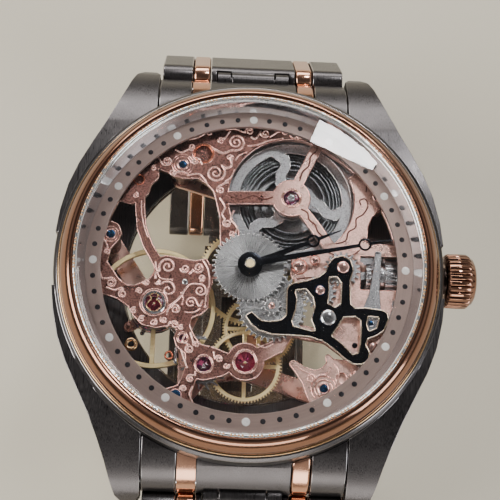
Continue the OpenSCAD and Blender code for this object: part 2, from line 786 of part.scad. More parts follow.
module fourth_wheel() {
    m = gear_module(fourth_at, escape_at, fourth_teeth, escape_pinion_teeth);
    mp = gear_module(third_at, fourth_at, third_teeth, fourth_pinion_teeth);
    color(brass) translate(fourth_at) {
        rotate(mesh_turn(third_at, fourth_at, third_teeth, fourth_pinion_teeth, 0))
            slab([3.5, 3.95]) pinion_2d(fourth_pinion_teeth, mp);
        slab(fourth_z) spoked_2d(fourth_teeth, m, 0.4, 0.7, 4, 0.45);
        arbor(0.25, [2.4, 5.4], 0.11, [1.7, 6.5]);
    }
}

escape_r = 2.55;

module escape_wheel() {
    mp = gear_module(fourth_at, escape_at, fourth_teeth, escape_pinion_teeth);
    color(steel) translate(escape_at) {
        rotate(mesh_turn(fourth_at, escape_at, fourth_teeth, escape_pinion_teeth, 0))
            slab([4.2, 4.7]) pinion_2d(escape_pinion_teeth, mp);
        slab(escape_z) {
            difference() {
                polygon([
                    for (k = [0 : escape_teeth - 1]) let (a = 360 * k / escape_teeth)
                        each [polar(1.85, a), polar(1.95, a + 10), polar(escape_r - 0.1, a + 18),
                            polar(escape_r, a + 21), polar(escape_r - 0.12, a + 22.5),
                            polar(1.85, a + 17)]
                ]);
                circle(1.5);
            }
            circle(0.6);
            for (k = [0 : 3]) rotate(90 * k) translate([0, -0.18]) square([1.6, 0.36]);
        }
        arbor(0.2, [2.4, 5.4], 0.11, [1.7, 6.5]);
    }
}

module pallet_fork() {
    toward = heading(pallet_at, balance_at);
    color(polished) translate(pallet_at) {
        rotate(toward) slab(escape_z) {
            stroke_2d([[-1.3, 2.05], [-0.3, 1.1], [0, 0], [-0.3, -1.1], [-1.3, -2.05]], 0.34);
            stroke_2d([[0, 0], [3.4, 0]], 0.36);
            stroke_2d([[3.4, 0], [3.85, 0.34]], 0.22);
            stroke_2d([[3.4, 0], [3.85, -0.34]], 0.22);
        }
        arbor(0.16, [4.9, 5.5], 0.09, [4.63, 6.5]);
    }
    color(ruby) translate(pallet_at) rotate(toward) slab([escape_z[1], escape_z[1] + 0.12])
        for (s = [-1, 1]) translate([-1.3, s * 2.05]) square([0.5, 0.26], center = true);
}

balance_r = 6.85;

module balance_wheel() {
    color(brass) translate(balance_at) {
        slab(rim_z) ring_2d(balance_r - 0.12, balance_r - 0.65, $fn = 96);
        slab([rim_z[0], rim_z[0] + 0.25]) {
            circle(0.9);
            for (a = [30, 150, 270]) rotate(a) translate([0, -0.25]) square([balance_r - 0.4, 0.5]);
        }
        translate([0, 0, 4.5]) cylinder(r = 0.88, h = 0.2);
        disc_at(polar(0.7, heading(balance_at, pallet_at)), 0.13, [4.7, 5.2]);
        arbor(0.28, [2.6, 5.5], 0.09, [1.5, 6.4]);
        translate([0, 0, 3.2]) cylinder(r = 0.55, h = 0.35);
    }
}

module hairspring() {
    color(blued) translate(balance_at) slab([3.25, 3.45]) spiral_2d(0.6, 2.75, 8, 1, 0.07, 160);
}

module regulator() {
    color(polished) translate(balance_at) slab([1.3, 1.55]) {
        ring_2d(1.95, 1.34);
        rotate(65) stroke_2d([[1.8, 0], [4.2, 0]], 0.4);
        rotate(-120) stroke_2d([[1.8, 0], [2.6, 0]], 0.5);
    }
}

// ---- motion work and hands ----

module cannon_pinion() {
    color(steel) difference() {
        union() {
            slab([6.65, 6.98]) pinion_2d(cannon_teeth, setting_module);
            translate([0, 0, 6.98]) cylinder(r = 0.72, h = minute_hand_z[0] - 6.98);
            translate([0, 0, minute_hand_z[0]]) cylinder(r = 0.6, h = 0.3);
        }
        cylinder(r = 0.43, h = 12);
    }
}

hour_module = gear_module([0, 0], minute_at, hour_teeth, minute_pinion_teeth);

module minute_wheel() {
    color(grey_gear) translate(minute_at) difference() {
        union() {
            rotate(minute_turn) slab(work_z) wheel_teeth_2d(minute_teeth, setting_module);
            rotate(mesh_turn([0, 0], minute_at, hour_teeth, minute_pinion_teeth, 0))
                slab([work_z[0], 7.4]) pinion_2d(minute_pinion_teeth, hour_module);
        }
        cylinder(r = 0.35, h = 12);
    }
}

module hour_wheel() {
    color(grey_gear) difference() {
        union() {
            slab(hour_z) wheel_teeth_2d(hour_teeth, hour_module);
            translate([0, 0, hour_z[1]]) cylinder(r = 1.0, h = hour_hand_z[1] - hour_z[1]);
        }
        cylinder(r = 0.78, h = 12);
    }
}

// pierced-ring hand along +X: tapered shaft, open ring, pointed tip
module hand_2d(hub, ring_at, ring_r, ring_hole, tip, w0, w1) {
    difference() {
        union() {
            circle(hub);
            polygon([[0, -w0 / 2], [ring_at - ring_r + 0.15, -w1 / 2],
                [ring_at - ring_r + 0.15, w1 / 2], [0, w0 / 2]]);
            translate([ring_at, 0]) circle(ring_r);
            polygon([[ring_at + ring_r - 0.15, -w1 / 2], [tip, -0.05], [tip, 0.05],
                [ring_at + ring_r - 0.15, w1 / 2]]);
        }
        translate([ring_at, 0]) circle(ring_hole);
    }
}

module hour_hand() {
    color(black) rotate(hour_angle) slab(hour_hand_z) difference() {
        hand_2d(1.35, 7.5, 0.75, 0.5, 10.9, 0.85, 0.45);
        circle(1.0);
    }
}

module minute_hand() {
    color(black) rotate(minute_angle) slab(minute_hand_z) difference() {
        hand_2d(1.35, 12.8, 0.72, 0.48, 16.0, 0.75, 0.4);
        circle(0.6);
    }
}

// ---- bracelet ----

// fall of each row below level, from the case to the clasp
row_fall = [54, 80, 104, 128, 150];
first_pin = [24.4, 3.0];
// ends of the rows: y, z of the hinge pin after k rows
function pin_at(k) = k == 0 ? first_pin
    : pin_at(k - 1) + row_pitch * [cos(row_fall[k - 1]), -sin(row_fall[k - 1])];
end_gap = 1.6;
knuckle_r = 1.0;
pin_r = 0.5;
tongue_w = 5;
ear_w = 1.5;
ear_x = tongue_w / 2 + 0.95;
slot_top = 1.12;

module across(w) {
    translate([-w / 2, 0, 0]) rotate([90, 0, 90]) linear_extrude(w) children();
}

// side view of a flat plate with half-round ends
module oblong_2d(x0, x1, t) {
    translate([x0, 0]) circle(t / 2);
    translate([x1, 0]) circle(t / 2);
    translate([x0, -t / 2]) square([x1 - x0, t]);
}

// a row along +Y: tongue on the near pin, slot and pin at the far end
module row(w) {
    difference() {
        union() {
            across(w) oblong_2d(end_gap, row_pitch - end_gap, row_t);
            across(tongue_w) {
                circle(knuckle_r);
                translate([0, -0.7]) square([end_gap + 1, 1.4]);
            }
        }
        across(tongue_w + 1) circle(pin_r + running);
        // slots for the next tongue and for the ears before it, closed by a skin on the outer face
        translate([-tongue_w / 2 - 0.15, row_pitch - 2.9, -3]) cube([tongue_w + 0.3, 9, 3 + slot_top]);
        for (s = [-1, 1]) translate([s * ear_x - ear_w / 2 - 0.15, -2, -3])
            cube([ear_w + 0.3, 3.2, 3 + slot_top]);
    }
    translate([0, row_pitch, 0]) {
        across(tongue_w + 3) circle(pin_r);
        for (s = [-1, 1]) translate([s * ear_x, 0, 0]) across(ear_w) {
            circle(knuckle_r);
            translate([-end_gap - 1, -0.7]) square([end_gap + 1, 1.4]);
        }
    }
}

// puts a row or the clasp after k rows on the 12 o'clock or 6 o'clock side
module on_side(side, k, fall) {
    mirror([0, side == 12 ? 0 : 1, 0])
        translate([0, pin_at(k)[0], pin_at(k)[1]]) rotate([-fall, 0, 0]) children();
}

module link(side, k) {
    color(steel) on_side(side, k - 1, row_fall[k - 1]) row(row_w - row_taper * (k - 1));
}

module link_12_1() { link(12, 1); }
module link_12_2() { link(12, 2); }
module link_12_3() { link(12, 3); }
module link_12_4() { link(12, 4); }
module link_12_5() { link(12, 5); }
module link_6_1() { link(6, 1); }
module link_6_2() { link(6, 2); }
module link_6_3() { link(6, 3); }
module link_6_4() { link(6, 4); }
module link_6_5() { link(6, 5); }

module end_links() {
    side = [
        [15, 1.4], [bar_at[0], 1.5], [23.7, 1.95], [24.1, 2.7], [24.1, 3.4], [23.7, 4.2],
        [22.8, 5.2], [21.6, 6.2], [20, 6.9], [15, 7.6]
    ];
    color(steel) for (sy = [0, 1]) mirror([0, sy, 0]) {
        difference() {
            across(end_link_w) polygon(side);
            translate([0, 0, -1]) cylinder(r = case_r + 0.03, h = 12, $fn = 120);
            translate([0, bar_at[0], bar_at[1]]) across(40) circle(bar_r);
            translate([-tongue_w / 2 - 0.15, first_pin[0] - 1.35, -3]) cube([tongue_w + 0.3, 9, 6 + slot_top]);
        }
        translate([0, first_pin[0], first_pin[1]]) {
            across(tongue_w + 3) circle(pin_r);
            for (s = [-1, 1]) translate([s * ear_x, 0, 0]) across(ear_w) {
                circle(knuckle_r);
                translate([-1, -0.7]) square([1, 1.4]);
            }
        }
    }
}

// ---- clasp: cover and two folding blades, closed ----

clasp_pin = pin_at(5);
clasp_w = 18.4;
cover_end = clasp_pin[0] - 1.9;
cover_len = cover_end + 12.1;
floor_z = clasp_pin[1] - 2.6;
blade_w = 13;
long_hinge = [11.6, floor_z + 1.6];
short_hinge = [-10.4, floor_z + 2.4];
blade_end = 15.0;

module at_yz(p) {
    translate([0, p[0], p[1]]) children();
}

module clasp_cover() {
    color(steel) {
        // floor and side walls
        translate([-clasp_w / 2, -cover_end, floor_z]) cube([clasp_w, cover_len, 0.8]);
        for (s = [-1, 1]) translate([s * (clasp_w / 2 - 0.45) - 0.45, -cover_end, floor_z])
            cube([0.9, cover_len, 2.4]);
        // hinge to the last row on the 6 o'clock side
        at_yz([-clasp_pin[0], clasp_pin[1]]) difference() {
            across(tongue_w) {
                circle(knuckle_r);
                translate([0, -1.0]) square([2.2, 1.6]);
            }
            across(tongue_w + 1) circle(pin_r + running);
        }
        translate([-tongue_w / 2, -cover_end, floor_z + 0.7]) cube([tongue_w, 1.2, 2.3]);
        // hinge of the long blade
        at_yz(long_hinge) {
            across(blade_w + 3) circle(0.4);
            for (s = [-1, 1]) translate([s * (blade_w / 2 + 0.9), 0, 0]) across(1.4) {
                circle(0.7);
                translate([-0.5, -1]) square([1, 1]);
            }
        }
    }
}

module clasp_blade_long() {
    color(polished) difference() {
        union() {
            at_yz(long_hinge) across(blade_w) {
                circle(0.65);
                translate([-22.9, -0.3]) square([22.9, 0.6]);
            }
            at_yz(short_hinge) for (s = [-1, 1]) translate([s * (blade_w / 2 - 0.8), 0, 0])
                across(1.6) {
                    circle(0.65);
                    translate([-0.65, -0.7]) square([1.3, 0.7]);
                }
        }
        at_yz(long_hinge) across(blade_w + 1) circle(0.45);
        at_yz([long_hinge[0] - 10.6, long_hinge[1]]) across(5) square([14, 2], center = true);
        at_yz(short_hinge) across(9.8) translate([-1.6, -1.5]) square([2.5, 2]);
    }
    color(polished) at_yz(short_hinge) across(blade_w - 0.5) circle(0.3);
}

module clasp_blade_short() {
    color(polished) difference() {
        union() {
            at_yz(short_hinge) across(blade_w - 3.6) {
                circle(0.62);
                translate([0, -0.1]) square([blade_end - short_hinge[0] - 0.7, 0.5]);
            }
            at_yz(short_hinge) across(tongue_w - 0.4)
                translate([8, -0.1]) square([blade_end - short_hinge[0] - 8, 0.5]);
        }
        at_yz(short_hinge) across(blade_w) circle(0.36);
        at_yz([short_hinge[0] + 11, short_hinge[1]]) across(4.4) square([13, 2], center = true);
    }
}

case_middle();
bezel();
crystal();
case_gaskets();
rehaut_ring();
chapter_ring();
case_back();
case_back_glass();
spring_bars();
crown();
winding_stem();
winding_pinion();
sliding_pinion();
crown_wheel();
ratchet_wheel();
click();
setting_lever();
yoke();
setting_wheel();
intermediate_wheel();
setting_cover();
main_plate();
barrel_bridge();
train_bridge();
balance_cock();
pallet_cock();
movement_screws();
train_jewels();
shock_settings();
barrel_drum();
barrel_cover();
mainspring();
barrel_arbor();
centre_wheel();
third_wheel();
fourth_wheel();
escape_wheel();
pallet_fork();
balance_wheel();
hairspring();
regulator();
cannon_pinion();
minute_wheel();
hour_wheel();
hour_hand();
minute_hand();
end_links();
link_12_1();
link_12_2();
link_12_3();
link_12_4();
link_12_5();
link_6_1();
link_6_2();
link_6_3();
link_6_4();
link_6_5();
clasp_cover();
clasp_blade_long();
clasp_blade_short();
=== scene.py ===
"""Looks of a skeleton wristwatch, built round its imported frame.

Each sub-assembly is a class: the case, the dial, the movement and the bracelet. Sizes are in
millimetres in the classes and become metres where a mesh is made. Heights are above the outer face
of the case back.
"""

from __future__ import annotations

import json
import logging
import math
from collections.abc import Iterable, Sequence
from dataclasses import dataclass
from enum import Enum

import bmesh
import bpy
from mathutils import Matrix, Vector


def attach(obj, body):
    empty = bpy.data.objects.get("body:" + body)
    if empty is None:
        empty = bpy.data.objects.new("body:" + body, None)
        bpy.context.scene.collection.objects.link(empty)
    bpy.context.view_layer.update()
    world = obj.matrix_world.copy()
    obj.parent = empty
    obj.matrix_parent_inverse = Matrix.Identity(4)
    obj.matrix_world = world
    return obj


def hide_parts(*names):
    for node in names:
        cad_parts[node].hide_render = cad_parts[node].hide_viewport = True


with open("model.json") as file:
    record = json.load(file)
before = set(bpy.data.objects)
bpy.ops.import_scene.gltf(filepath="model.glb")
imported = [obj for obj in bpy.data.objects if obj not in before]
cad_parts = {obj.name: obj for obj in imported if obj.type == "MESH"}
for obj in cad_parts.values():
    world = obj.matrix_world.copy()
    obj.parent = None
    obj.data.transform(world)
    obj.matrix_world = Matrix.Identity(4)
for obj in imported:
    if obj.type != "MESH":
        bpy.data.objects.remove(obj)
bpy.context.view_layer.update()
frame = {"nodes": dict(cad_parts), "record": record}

LOG = logging.getLogger("wristwatch")
MM = 0.001

Colour = tuple[float, float, float]
Point = tuple[float, float]
Place = tuple[float, float, float]

# axes of the movement and the screws of its bridges, in mm
CENTRE: Point = (0.0, 0.0)
BARREL: Point = (4.5, 8.35)
THIRD: Point = (1.31, -6.16)
FOURTH: Point = (-0.2, -10.4)
ESCAPE: Point = (-4.6, -10.8)
PALLET: Point = (-7.0, -8.0)
BALANCE: Point = (-10.25, -4.2)
MINUTE: Point = (2.5, -4.33)
SETTING: Point = (7.7, -2.5)
INTERMEDIATE: Point = (10.2, 0.2)
PILLARS: tuple[Point, ...] = (
    (-7.8, 11.9), (14.3, 9.0), (13.5, -8.3), (8.3, -13.0), (-7.5, -14.2), (-15.4, 3.4),
)

# height of the main plate's face, and how far its polished outline stays from the centre arbor, in mm
PLATE_TOP = 6.6
ARBOR_ROOM = 0.8

# corners closer than this are one, in mm, and faces within this angle are one flat face, in degrees
MERGE = 0.0005
FLAT = 1.0
# a round is laid only beside faces this many times as deep as it is wide
BESIDE = 1.3
# shares of its width that a round is tried at, and the folded area that it may leave
WIDTH_SHARES = (1.0, 0.75, 0.55, 0.4, 0.25)
FOLD_LIMIT = 0.0012

# faces round the bezel and its trim
ROUND = 192

# grain values between which a finish goes from its low to its high colour
GRAIN_SPAN = (0.3, 0.7)
# share of the grain in a finish's roughness; handling marks have the rest
GRAIN_SHARE = 0.7


# ---------------------------------------------------------------- node trees


class Tree:
    """A node tree with short ways to add and wire nodes.

    Attributes:
        tree: the shader or geometry node tree.
        start: sockets of a group's Group Input node.
        end: sockets of a group's Group Output node.
        output: a material's output node.
    """

    start: bpy.types.bpy_prop_collection
    end: bpy.types.bpy_prop_collection
    output: bpy.types.Node

    def __init__(self, tree: bpy.types.NodeTree) -> None:
        """Keeps the tree that the nodes go into."""
        self.tree = tree

    @classmethod
    def new_group(
        cls, name: str, kind: str, inputs: dict[str, tuple[str, object]], outputs: dict[str, str]
    ) -> Tree:
        """Makes a node group with named sockets.

        Args:
            name: the group's name.
            kind: "ShaderNodeTree" or "GeometryNodeTree".
            inputs: socket type ending and default value by name.
            outputs: socket type ending by name.

        Returns:
            The tree, with its Group Input and Group Output nodes as start and end.
        """
        made = cls(bpy.data.node_groups.new(name, kind))
        for label, (ending, default) in inputs.items():
            socket = made.tree.interface.new_socket(
                name=label, in_out="INPUT", socket_type=f"NodeSocket{ending}"
            )
            if default is not None:
                socket.default_value = default
        for label, ending in outputs.items():
            made.tree.interface.new_socket(
                name=label, in_out="OUTPUT", socket_type=f"NodeSocket{ending}"
            )
        made.start = made.tree.nodes.new("NodeGroupInput").outputs
        made.end = made.tree.nodes.new("NodeGroupOutput").inputs
        return made

    def add(
        self, kind: str, wires: dict[str | int, object] | None = None, **settings: object
    ) -> bpy.types.Node:
        """Adds one node.

        Args:
            kind: the node's type.
            wires: a socket to link from, or a plain value, by input name or number.
            settings: properties of the node.

        Returns:
            The node.
        """
        node = self.tree.nodes.new(kind)
        for label, value in settings.items():
            setattr(node, label, value)
        for key, value in (wires or {}).items():
            if isinstance(value, bpy.types.NodeSocket):
                self.tree.links.new(value, node.inputs[key])
            else:
                node.inputs[key].default_value = value
        return node

    def group(self, group: Tree, wires: dict[str | int, object]) -> bpy.types.Node:
        """Places a group, with its inputs wired as add does, and returns its node."""
        return self.add(f"{self.tree.bl_idname[:-8]}NodeGroup", wires, node_tree=group.tree)

    def math(self, operation: str, *values: object) -> bpy.types.NodeSocket:
        """Adds a Math node and returns its result."""
        return self.add("ShaderNodeMath", dict(enumerate(values)), operation=operation).outputs[0]

    def spread(
        self, value: bpy.types.NodeSocket, low: float, high: float, to: Sequence[float] = (0.0, 1.0)
    ) -> bpy.types.NodeSocket:
        """Maps a value from low..high to the range to, clamped, and returns the result."""
        wires = {0: value, 1: low, 2: high, 3: to[0], 4: to[1]}
        return self.add("ShaderNodeMapRange", wires).outputs[0]

    def mix(self, share: object, first: object, second: object) -> bpy.types.NodeSocket:
        """Mixes two colours by a share and returns the result."""
        wires = {0: share, 6: first, 7: second}
        return self.add("ShaderNodeMix", wires, data_type="RGBA").outputs[2]

    def link(self, source: bpy.types.NodeSocket, target: bpy.types.NodeSocket) -> None:
        """Links two sockets."""
        self.tree.links.new(source, target)


class Effects:
    """Shader node groups that the finishes share.

    Attributes:
        ray_waves: waves along a metre of a ray.
        ring_waves: waves along a radian of a ring.
        dot_span: distances from a dot's middle between which it rises to the ground.
        smudge_span: noise values between which a smudge fades in.
    """

    ray_waves = 300.0
    ring_waves = 1.5
    dot_span = (0.1, 0.6)
    smudge_span = (0.35, 0.7)

    def __init__(self) -> None:
        """Builds every group once."""
        self.lines = self._lines()
        self.rays = self._rays()
        self.rings = self._rings()
        self.stipple = self._stipple()
        self.smudge = self._smudge()

    @staticmethod
    def _lines() -> Tree:
        """Builds fine straight grain, which is noise on stretched coordinates.

        Returns:
            The group.
        """
        inputs = {"Vector": ("Vector", None), "Stretch": ("Vector", (1.0, 1.0, 1.0))}
        t = Tree.new_group("straight_grain", "ShaderNodeTree", inputs, {"Value": "Float"})
        scaled = t.add(
            "ShaderNodeVectorMath", {0: t.start["Vector"], 1: t.start["Stretch"]}, operation="MULTIPLY"
        )
        noise = t.add("ShaderNodeTexNoise", {"Vector": scaled.outputs[0], "Scale": 1.0, "Detail": 3.0})
        t.link(noise.outputs[0], t.end["Value"])
        return t

    @staticmethod
    def _polar(t: Tree) -> tuple[bpy.types.NodeSocket, bpy.types.NodeSocket]:
        """Measures a group's Vector about its Centre.

        Args:
            t: the group, with those two inputs.

        Returns:
            The angle and the radius.
        """
        about = t.add(
            "ShaderNodeVectorMath", {0: t.start["Vector"], 1: t.start["Centre"]}, operation="SUBTRACT"
        )
        axis = t.add("ShaderNodeSeparateXYZ", {0: about.outputs[0]}).outputs
        angle = t.math("ARCTAN2", axis[1], axis[0])
        radius = t.math("SQRT", t.math("ADD", t.math("POWER", axis[0], 2.0), t.math("POWER", axis[1], 2.0)))
        return angle, radius

    @classmethod
    def _rays(cls) -> Tree:
        """Builds grain that runs out from a centre, as a sunburst does.

        Returns:
            The group.
        """
        inputs = {
            "Vector": ("Vector", None),
            "Centre": ("Vector", (0.0, 0.0, 0.0)),
            "Count": ("Float", 60.0),
        }
        t = Tree.new_group("sunburst_grain", "ShaderNodeTree", inputs, {"Value": "Float"})
        angle, radius = cls._polar(t)
        across = t.math("MULTIPLY", angle, t.start["Count"])
        along = t.math("MULTIPLY", radius, cls.ray_waves)
        point = t.add("ShaderNodeCombineXYZ", {0: across, 1: along})
        noise = t.add("ShaderNodeTexNoise", {"Vector": point.outputs[0], "Scale": 1.0, "Detail": 2.0})
        t.link(noise.outputs[0], t.end["Value"])
        return t

    @classmethod
    def _rings(cls) -> Tree:
        """Builds grain that runs round a centre, as turning leaves it.

        Returns:
            The group.
        """
        inputs = {
            "Vector": ("Vector", None),
            "Centre": ("Vector", (0.0, 0.0, 0.0)),
            "Pitch": ("Float", 9000.0),
        }
        t = Tree.new_group("turned_grain", "ShaderNodeTree", inputs, {"Value": "Float"})
        angle, radius = cls._polar(t)
        along = t.math("MULTIPLY", angle, cls.ring_waves)
        across = t.math("MULTIPLY", radius, t.start["Pitch"])
        point = t.add("ShaderNodeCombineXYZ", {0: across, 1: along})
        noise = t.add("ShaderNodeTexNoise", {"Vector": point.outputs[0], "Scale": 1.0, "Detail": 2.0})
        t.link(noise.outputs[0], t.end["Value"])
        return t

    @classmethod
    def _stipple(cls) -> Tree:
        """Builds punched dots.

        Returns:
            The group, whose Value is 0 in a dot and 1 between dots.
        """
        inputs = {"Vector": ("Vector", None), "Scale": ("Float", 5000.0)}
        t = Tree.new_group("stipple", "ShaderNodeTree", inputs, {"Value": "Float"})
        wires = {"Vector": t.start["Vector"], "Scale": t.start["Scale"]}
        cell = t.add("ShaderNodeTexVoronoi", wires, feature="F1")
        t.link(t.spread(cell.outputs["Distance"], *cls.dot_span), t.end["Value"])
        return t

    @classmethod
    def _smudge(cls) -> Tree:
        """Builds soft patches of handling marks.

        Returns:
            The group.
        """
        inputs = {"Vector": ("Vector", None), "Scale": ("Float", 400.0)}
        t = Tree.new_group("smudge", "ShaderNodeTree", inputs, {"Value": "Float"})
        wires = {"Vector": t.start["Vector"], "Scale": t.start["Scale"], "Detail": 5.0, "Roughness": 0.6}
        noise = t.add("ShaderNodeTexNoise", wires)
        t.link(t.spread(noise.outputs[0], *cls.smudge_span), t.end["Value"])
        return t


EFFECTS = Effects()


# ---------------------------------------------------------------- finishes


class Pattern(Enum):
    """How a surface is grained."""

    LINES = "straight lines"
    RAYS = "sunburst"
    RINGS = "turned rings"
    STIPPLE = "punched dots"


MADE: dict[str, bpy.types.Material] = {}


@dataclass(frozen=True)
class Finish:
    """A material that is made once, on its first use.

    Attributes:
        name: the material's name.
    """

    name: str

    def build(self) -> bpy.types.Material:
        """Makes the material on the first call.

        Returns:
            The material.
        """
        if self.name not in MADE:
            material = bpy.data.materials.new(f"{self.name}_finish")
            MADE[self.name] = material
            material.use_nodes = True
            t = Tree(material.node_tree)
            t.tree.nodes.clear()
            shader = t.add("ShaderNodeBsdfPrincipled")
            t.output = t.add("ShaderNodeOutputMaterial", {"Surface": shader.outputs[0]})
            self._dress(t, shader, t.add("ShaderNodeTexCoord").outputs["Object"])
        return MADE[self.name]

    def _dress(self, t: Tree, shader: bpy.types.Node, place: bpy.types.NodeSocket) -> None:
        """Wires the look into the tree's Principled shader, from the object coordinates place."""
        raise NotImplementedError


@dataclass(frozen=True)
class Metal(Finish):
    """A grained or polished metal or lacquer.

    Attributes:
        colour: colour of the high parts of the grain.
        low: colour of the low parts.
        rough: roughness of the low and the high parts.
        pattern: how it is grained.
        stretch: waves per metre along x, y and z for straight lines.
        centre: centre of rays or rings, in mm.
        count: waves round a turn of rays, or per metre of rings or dots.
        relief: strength of the bump, 0 to 1.
        depth: depth of the bump, in mm.
        metallic: 1 for metal, less for lacquer.
        coat: weight of a clear coat.
        gloss: specular level, 0.5 for ordinary lacquer.
    """

    colour: Colour
    low: Colour
    rough: Point = (0.2, 0.3)
    pattern: Pattern = Pattern.LINES
    stretch: Place = (9000.0, 9000.0, 9000.0)
    centre: Point = (0.0, 0.0)
    count: float = 9000.0
    relief: float = 0.1
    depth: float = 0.02
    metallic: float = 1.0
    coat: float = 0.0
    gloss: float = 0.5

    def _grain(self, t: Tree, place: bpy.types.NodeSocket) -> bpy.types.NodeSocket:
        """Places the shared effect of this pattern.

        Args:
            t: the material's tree.
            place: object coordinates.

        Returns:
            The grain's value.
        """
        centre = (self.centre[0] * MM, self.centre[1] * MM, 0.0)
        if self.pattern is Pattern.LINES:
            return t.group(EFFECTS.lines, {"Vector": place, "Stretch": self.stretch}).outputs[0]
        if self.pattern is Pattern.RAYS:
            wires = {"Vector": place, "Centre": centre, "Count": self.count}
            return t.group(EFFECTS.rays, wires).outputs[0]
        if self.pattern is Pattern.RINGS:
            wires = {"Vector": place, "Centre": centre, "Pitch": self.count}
            return t.group(EFFECTS.rings, wires).outputs[0]
        return t.group(EFFECTS.stipple, {"Vector": place, "Scale": self.count}).outputs[0]

    def _dress(self, t: Tree, shader: bpy.types.Node, place: bpy.types.NodeSocket) -> None:
        """Wires colour, roughness and relief from the grain and the handling marks.

        Args:
            t: the material's tree.
            shader: its Principled shader.
            place: object coordinates.
        """
        grain = self._grain(t, place)
        smudge = t.group(EFFECTS.smudge, {"Vector": place}).outputs[0]
        share = t.spread(grain, *GRAIN_SPAN)
        t.link(t.mix(share, (*self.low, 1.0), (*self.colour, 1.0)), shader.inputs["Base Color"])
        worn = t.math(
            "ADD", t.math("MULTIPLY", share, GRAIN_SHARE), t.math("MULTIPLY", smudge, 1.0 - GRAIN_SHARE)
        )
        t.link(t.spread(worn, 0.0, 1.0, self.rough), shader.inputs["Roughness"])
        wires = {"Strength": self.relief, "Distance": self.depth * MM, "Height": grain}
        t.link(t.add("ShaderNodeBump", wires).outputs[0], shader.inputs["Normal"])
        shader.inputs["Metallic"].default_value = self.metallic
        shader.inputs["Coat Weight"].default_value = self.coat
        shader.inputs["Specular IOR Level"].default_value = self.gloss


@dataclass(frozen=True)
class EngravedPlate(Finish):
    """Rose-gold plate with a dark punched ground that is painted lighter along x into bright satin on the
    crown's side. The dark ground is the plate's own finish; the lightening towards +x is painted light
    falling from that side.

    Attributes:
        name: the material's name.
        bright: colour of the satin that the ground is painted into on the lit crown's side.
        shade: brightness of the satin's low grain, as a share of the high.
        ground: colour of the punched ground.
        pit: colour inside the punched dots.
        clear: x where the painted light starts to lighten the ground and where it is fully bright satin, in
            mm.
        loss: share of the dots' depth that the satin side loses.
        dots: dots per metre.
        stretch: waves of the satin grain per metre along x, y and z.
        marks: patches of handling marks per metre.
        rough: roughness of the clean and the handled parts.
        relief: strength of the bump, 0 to 1.
        depth: depth of the bump, in mm.
    """

    name: str = "engraved_rose_plate_painted_light"
    bright: Colour = (0.86, 0.53, 0.45)
    shade: float = 0.6
    ground: Colour = (0.19, 0.09, 0.075)
    pit: Colour = (0.035, 0.016, 0.014)
    clear: Point = (1.0, 5.5)
    loss: float = 0.8
    dots: float = 5200.0
    stretch: Place = (7000.0, 7000.0, 4000.0)
    marks: float = 700.0
    rough: Point = (0.24, 0.42)
    relief: float = 0.5
    depth: float = 0.04

    def _dress(self, t: Tree, shader: bpy.types.Node, place: bpy.types.NodeSocket) -> None:
        """Wires the punched ground and the satin, and lets one pass into the other along x. This paints the
        plate lighter on the crown's side as painted light.

        Args:
            t: the material's tree.
            shader: its Principled shader.
            place: object coordinates.
        """
        dots = t.group(EFFECTS.stipple, {"Vector": place, "Scale": self.dots}).outputs[0]
        grain = t.group(EFFECTS.lines, {"Vector": place, "Stretch": self.stretch}).outputs[0]
        smudge = t.group(EFFECTS.smudge, {"Vector": place, "Scale": self.marks}).outputs[0]
        axis = t.add("ShaderNodeSeparateXYZ", {0: place}).outputs
        # painted light: the dark punched ground is lightened into bright satin towards +x, the crown's side
        clear = t.spread(axis[0], self.clear[0] * MM, self.clear[1] * MM)
        punched = t.mix(dots, (*self.pit, 1.0), (*self.ground, 1.0))
        low = (*[self.shade * c for c in self.bright], 1.0)
        satin = t.mix(t.spread(grain, *GRAIN_SPAN), low, (*self.bright, 1.0))
        t.link(t.mix(clear, punched, satin), shader.inputs["Base Color"])
        t.link(t.spread(smudge, 0.0, 1.0, self.rough), shader.inputs["Roughness"])
        flat = t.math("MULTIPLY", clear, self.loss)
        height = t.math("MULTIPLY", dots, t.math("SUBTRACT", 1.0, flat))
        wires = {
            "Strength": self.relief, "Distance": self.depth * MM, "Height": t.math("ADD", height, grain),
        }
        t.link(t.add("ShaderNodeBump", wires).outputs[0], shader.inputs["Normal"])
        shader.inputs["Metallic"].default_value = 1.0


@dataclass(frozen=True)
class Glass(Finish):
    """Clear or tinted hard glass that lets the lamps through.

    Attributes:
        tint: colour of what passes.
        ior: how much it bends light.
        rough: roughness of the clean and the handled parts.
        marks: patches of handling marks per metre.
    """

    tint: Colour = (1.0, 1.0, 1.0)
    ior: float = 1.45
    rough: Point = (0.0, 0.02)
    marks: float = 250.0

    def _dress(self, t: Tree, shader: bpy.types.Node, place: bpy.types.NodeSocket) -> None:
        """Wires the glass, which casts no shadow.

        Args:
            t: the material's tree.
            shader: its Principled shader.
            place: object coordinates.
        """
        smudge = t.group(EFFECTS.smudge, {"Vector": place, "Scale": self.marks}).outputs[0]
        t.link(t.spread(smudge, 0.0, 1.0, self.rough), shader.inputs["Roughness"])
        shader.inputs["Base Color"].default_value = (*self.tint, 1.0)
        shader.inputs["IOR"].default_value = self.ior
        shader.inputs["Transmission Weight"].default_value = 1.0
        shader.inputs["Metallic"].default_value = 0.0
        lamp = t.add("ShaderNodeLightPath").outputs["Is Shadow Ray"]
        through = t.add("ShaderNodeBsdfTransparent", {"Color": (*self.tint, 1.0)}).outputs[0]
        both = t.add("ShaderNodeMixShader", {0: lamp, 1: shader.outputs[0], 2: through})
        t.link(both.outputs[0], t.output.inputs["Surface"])


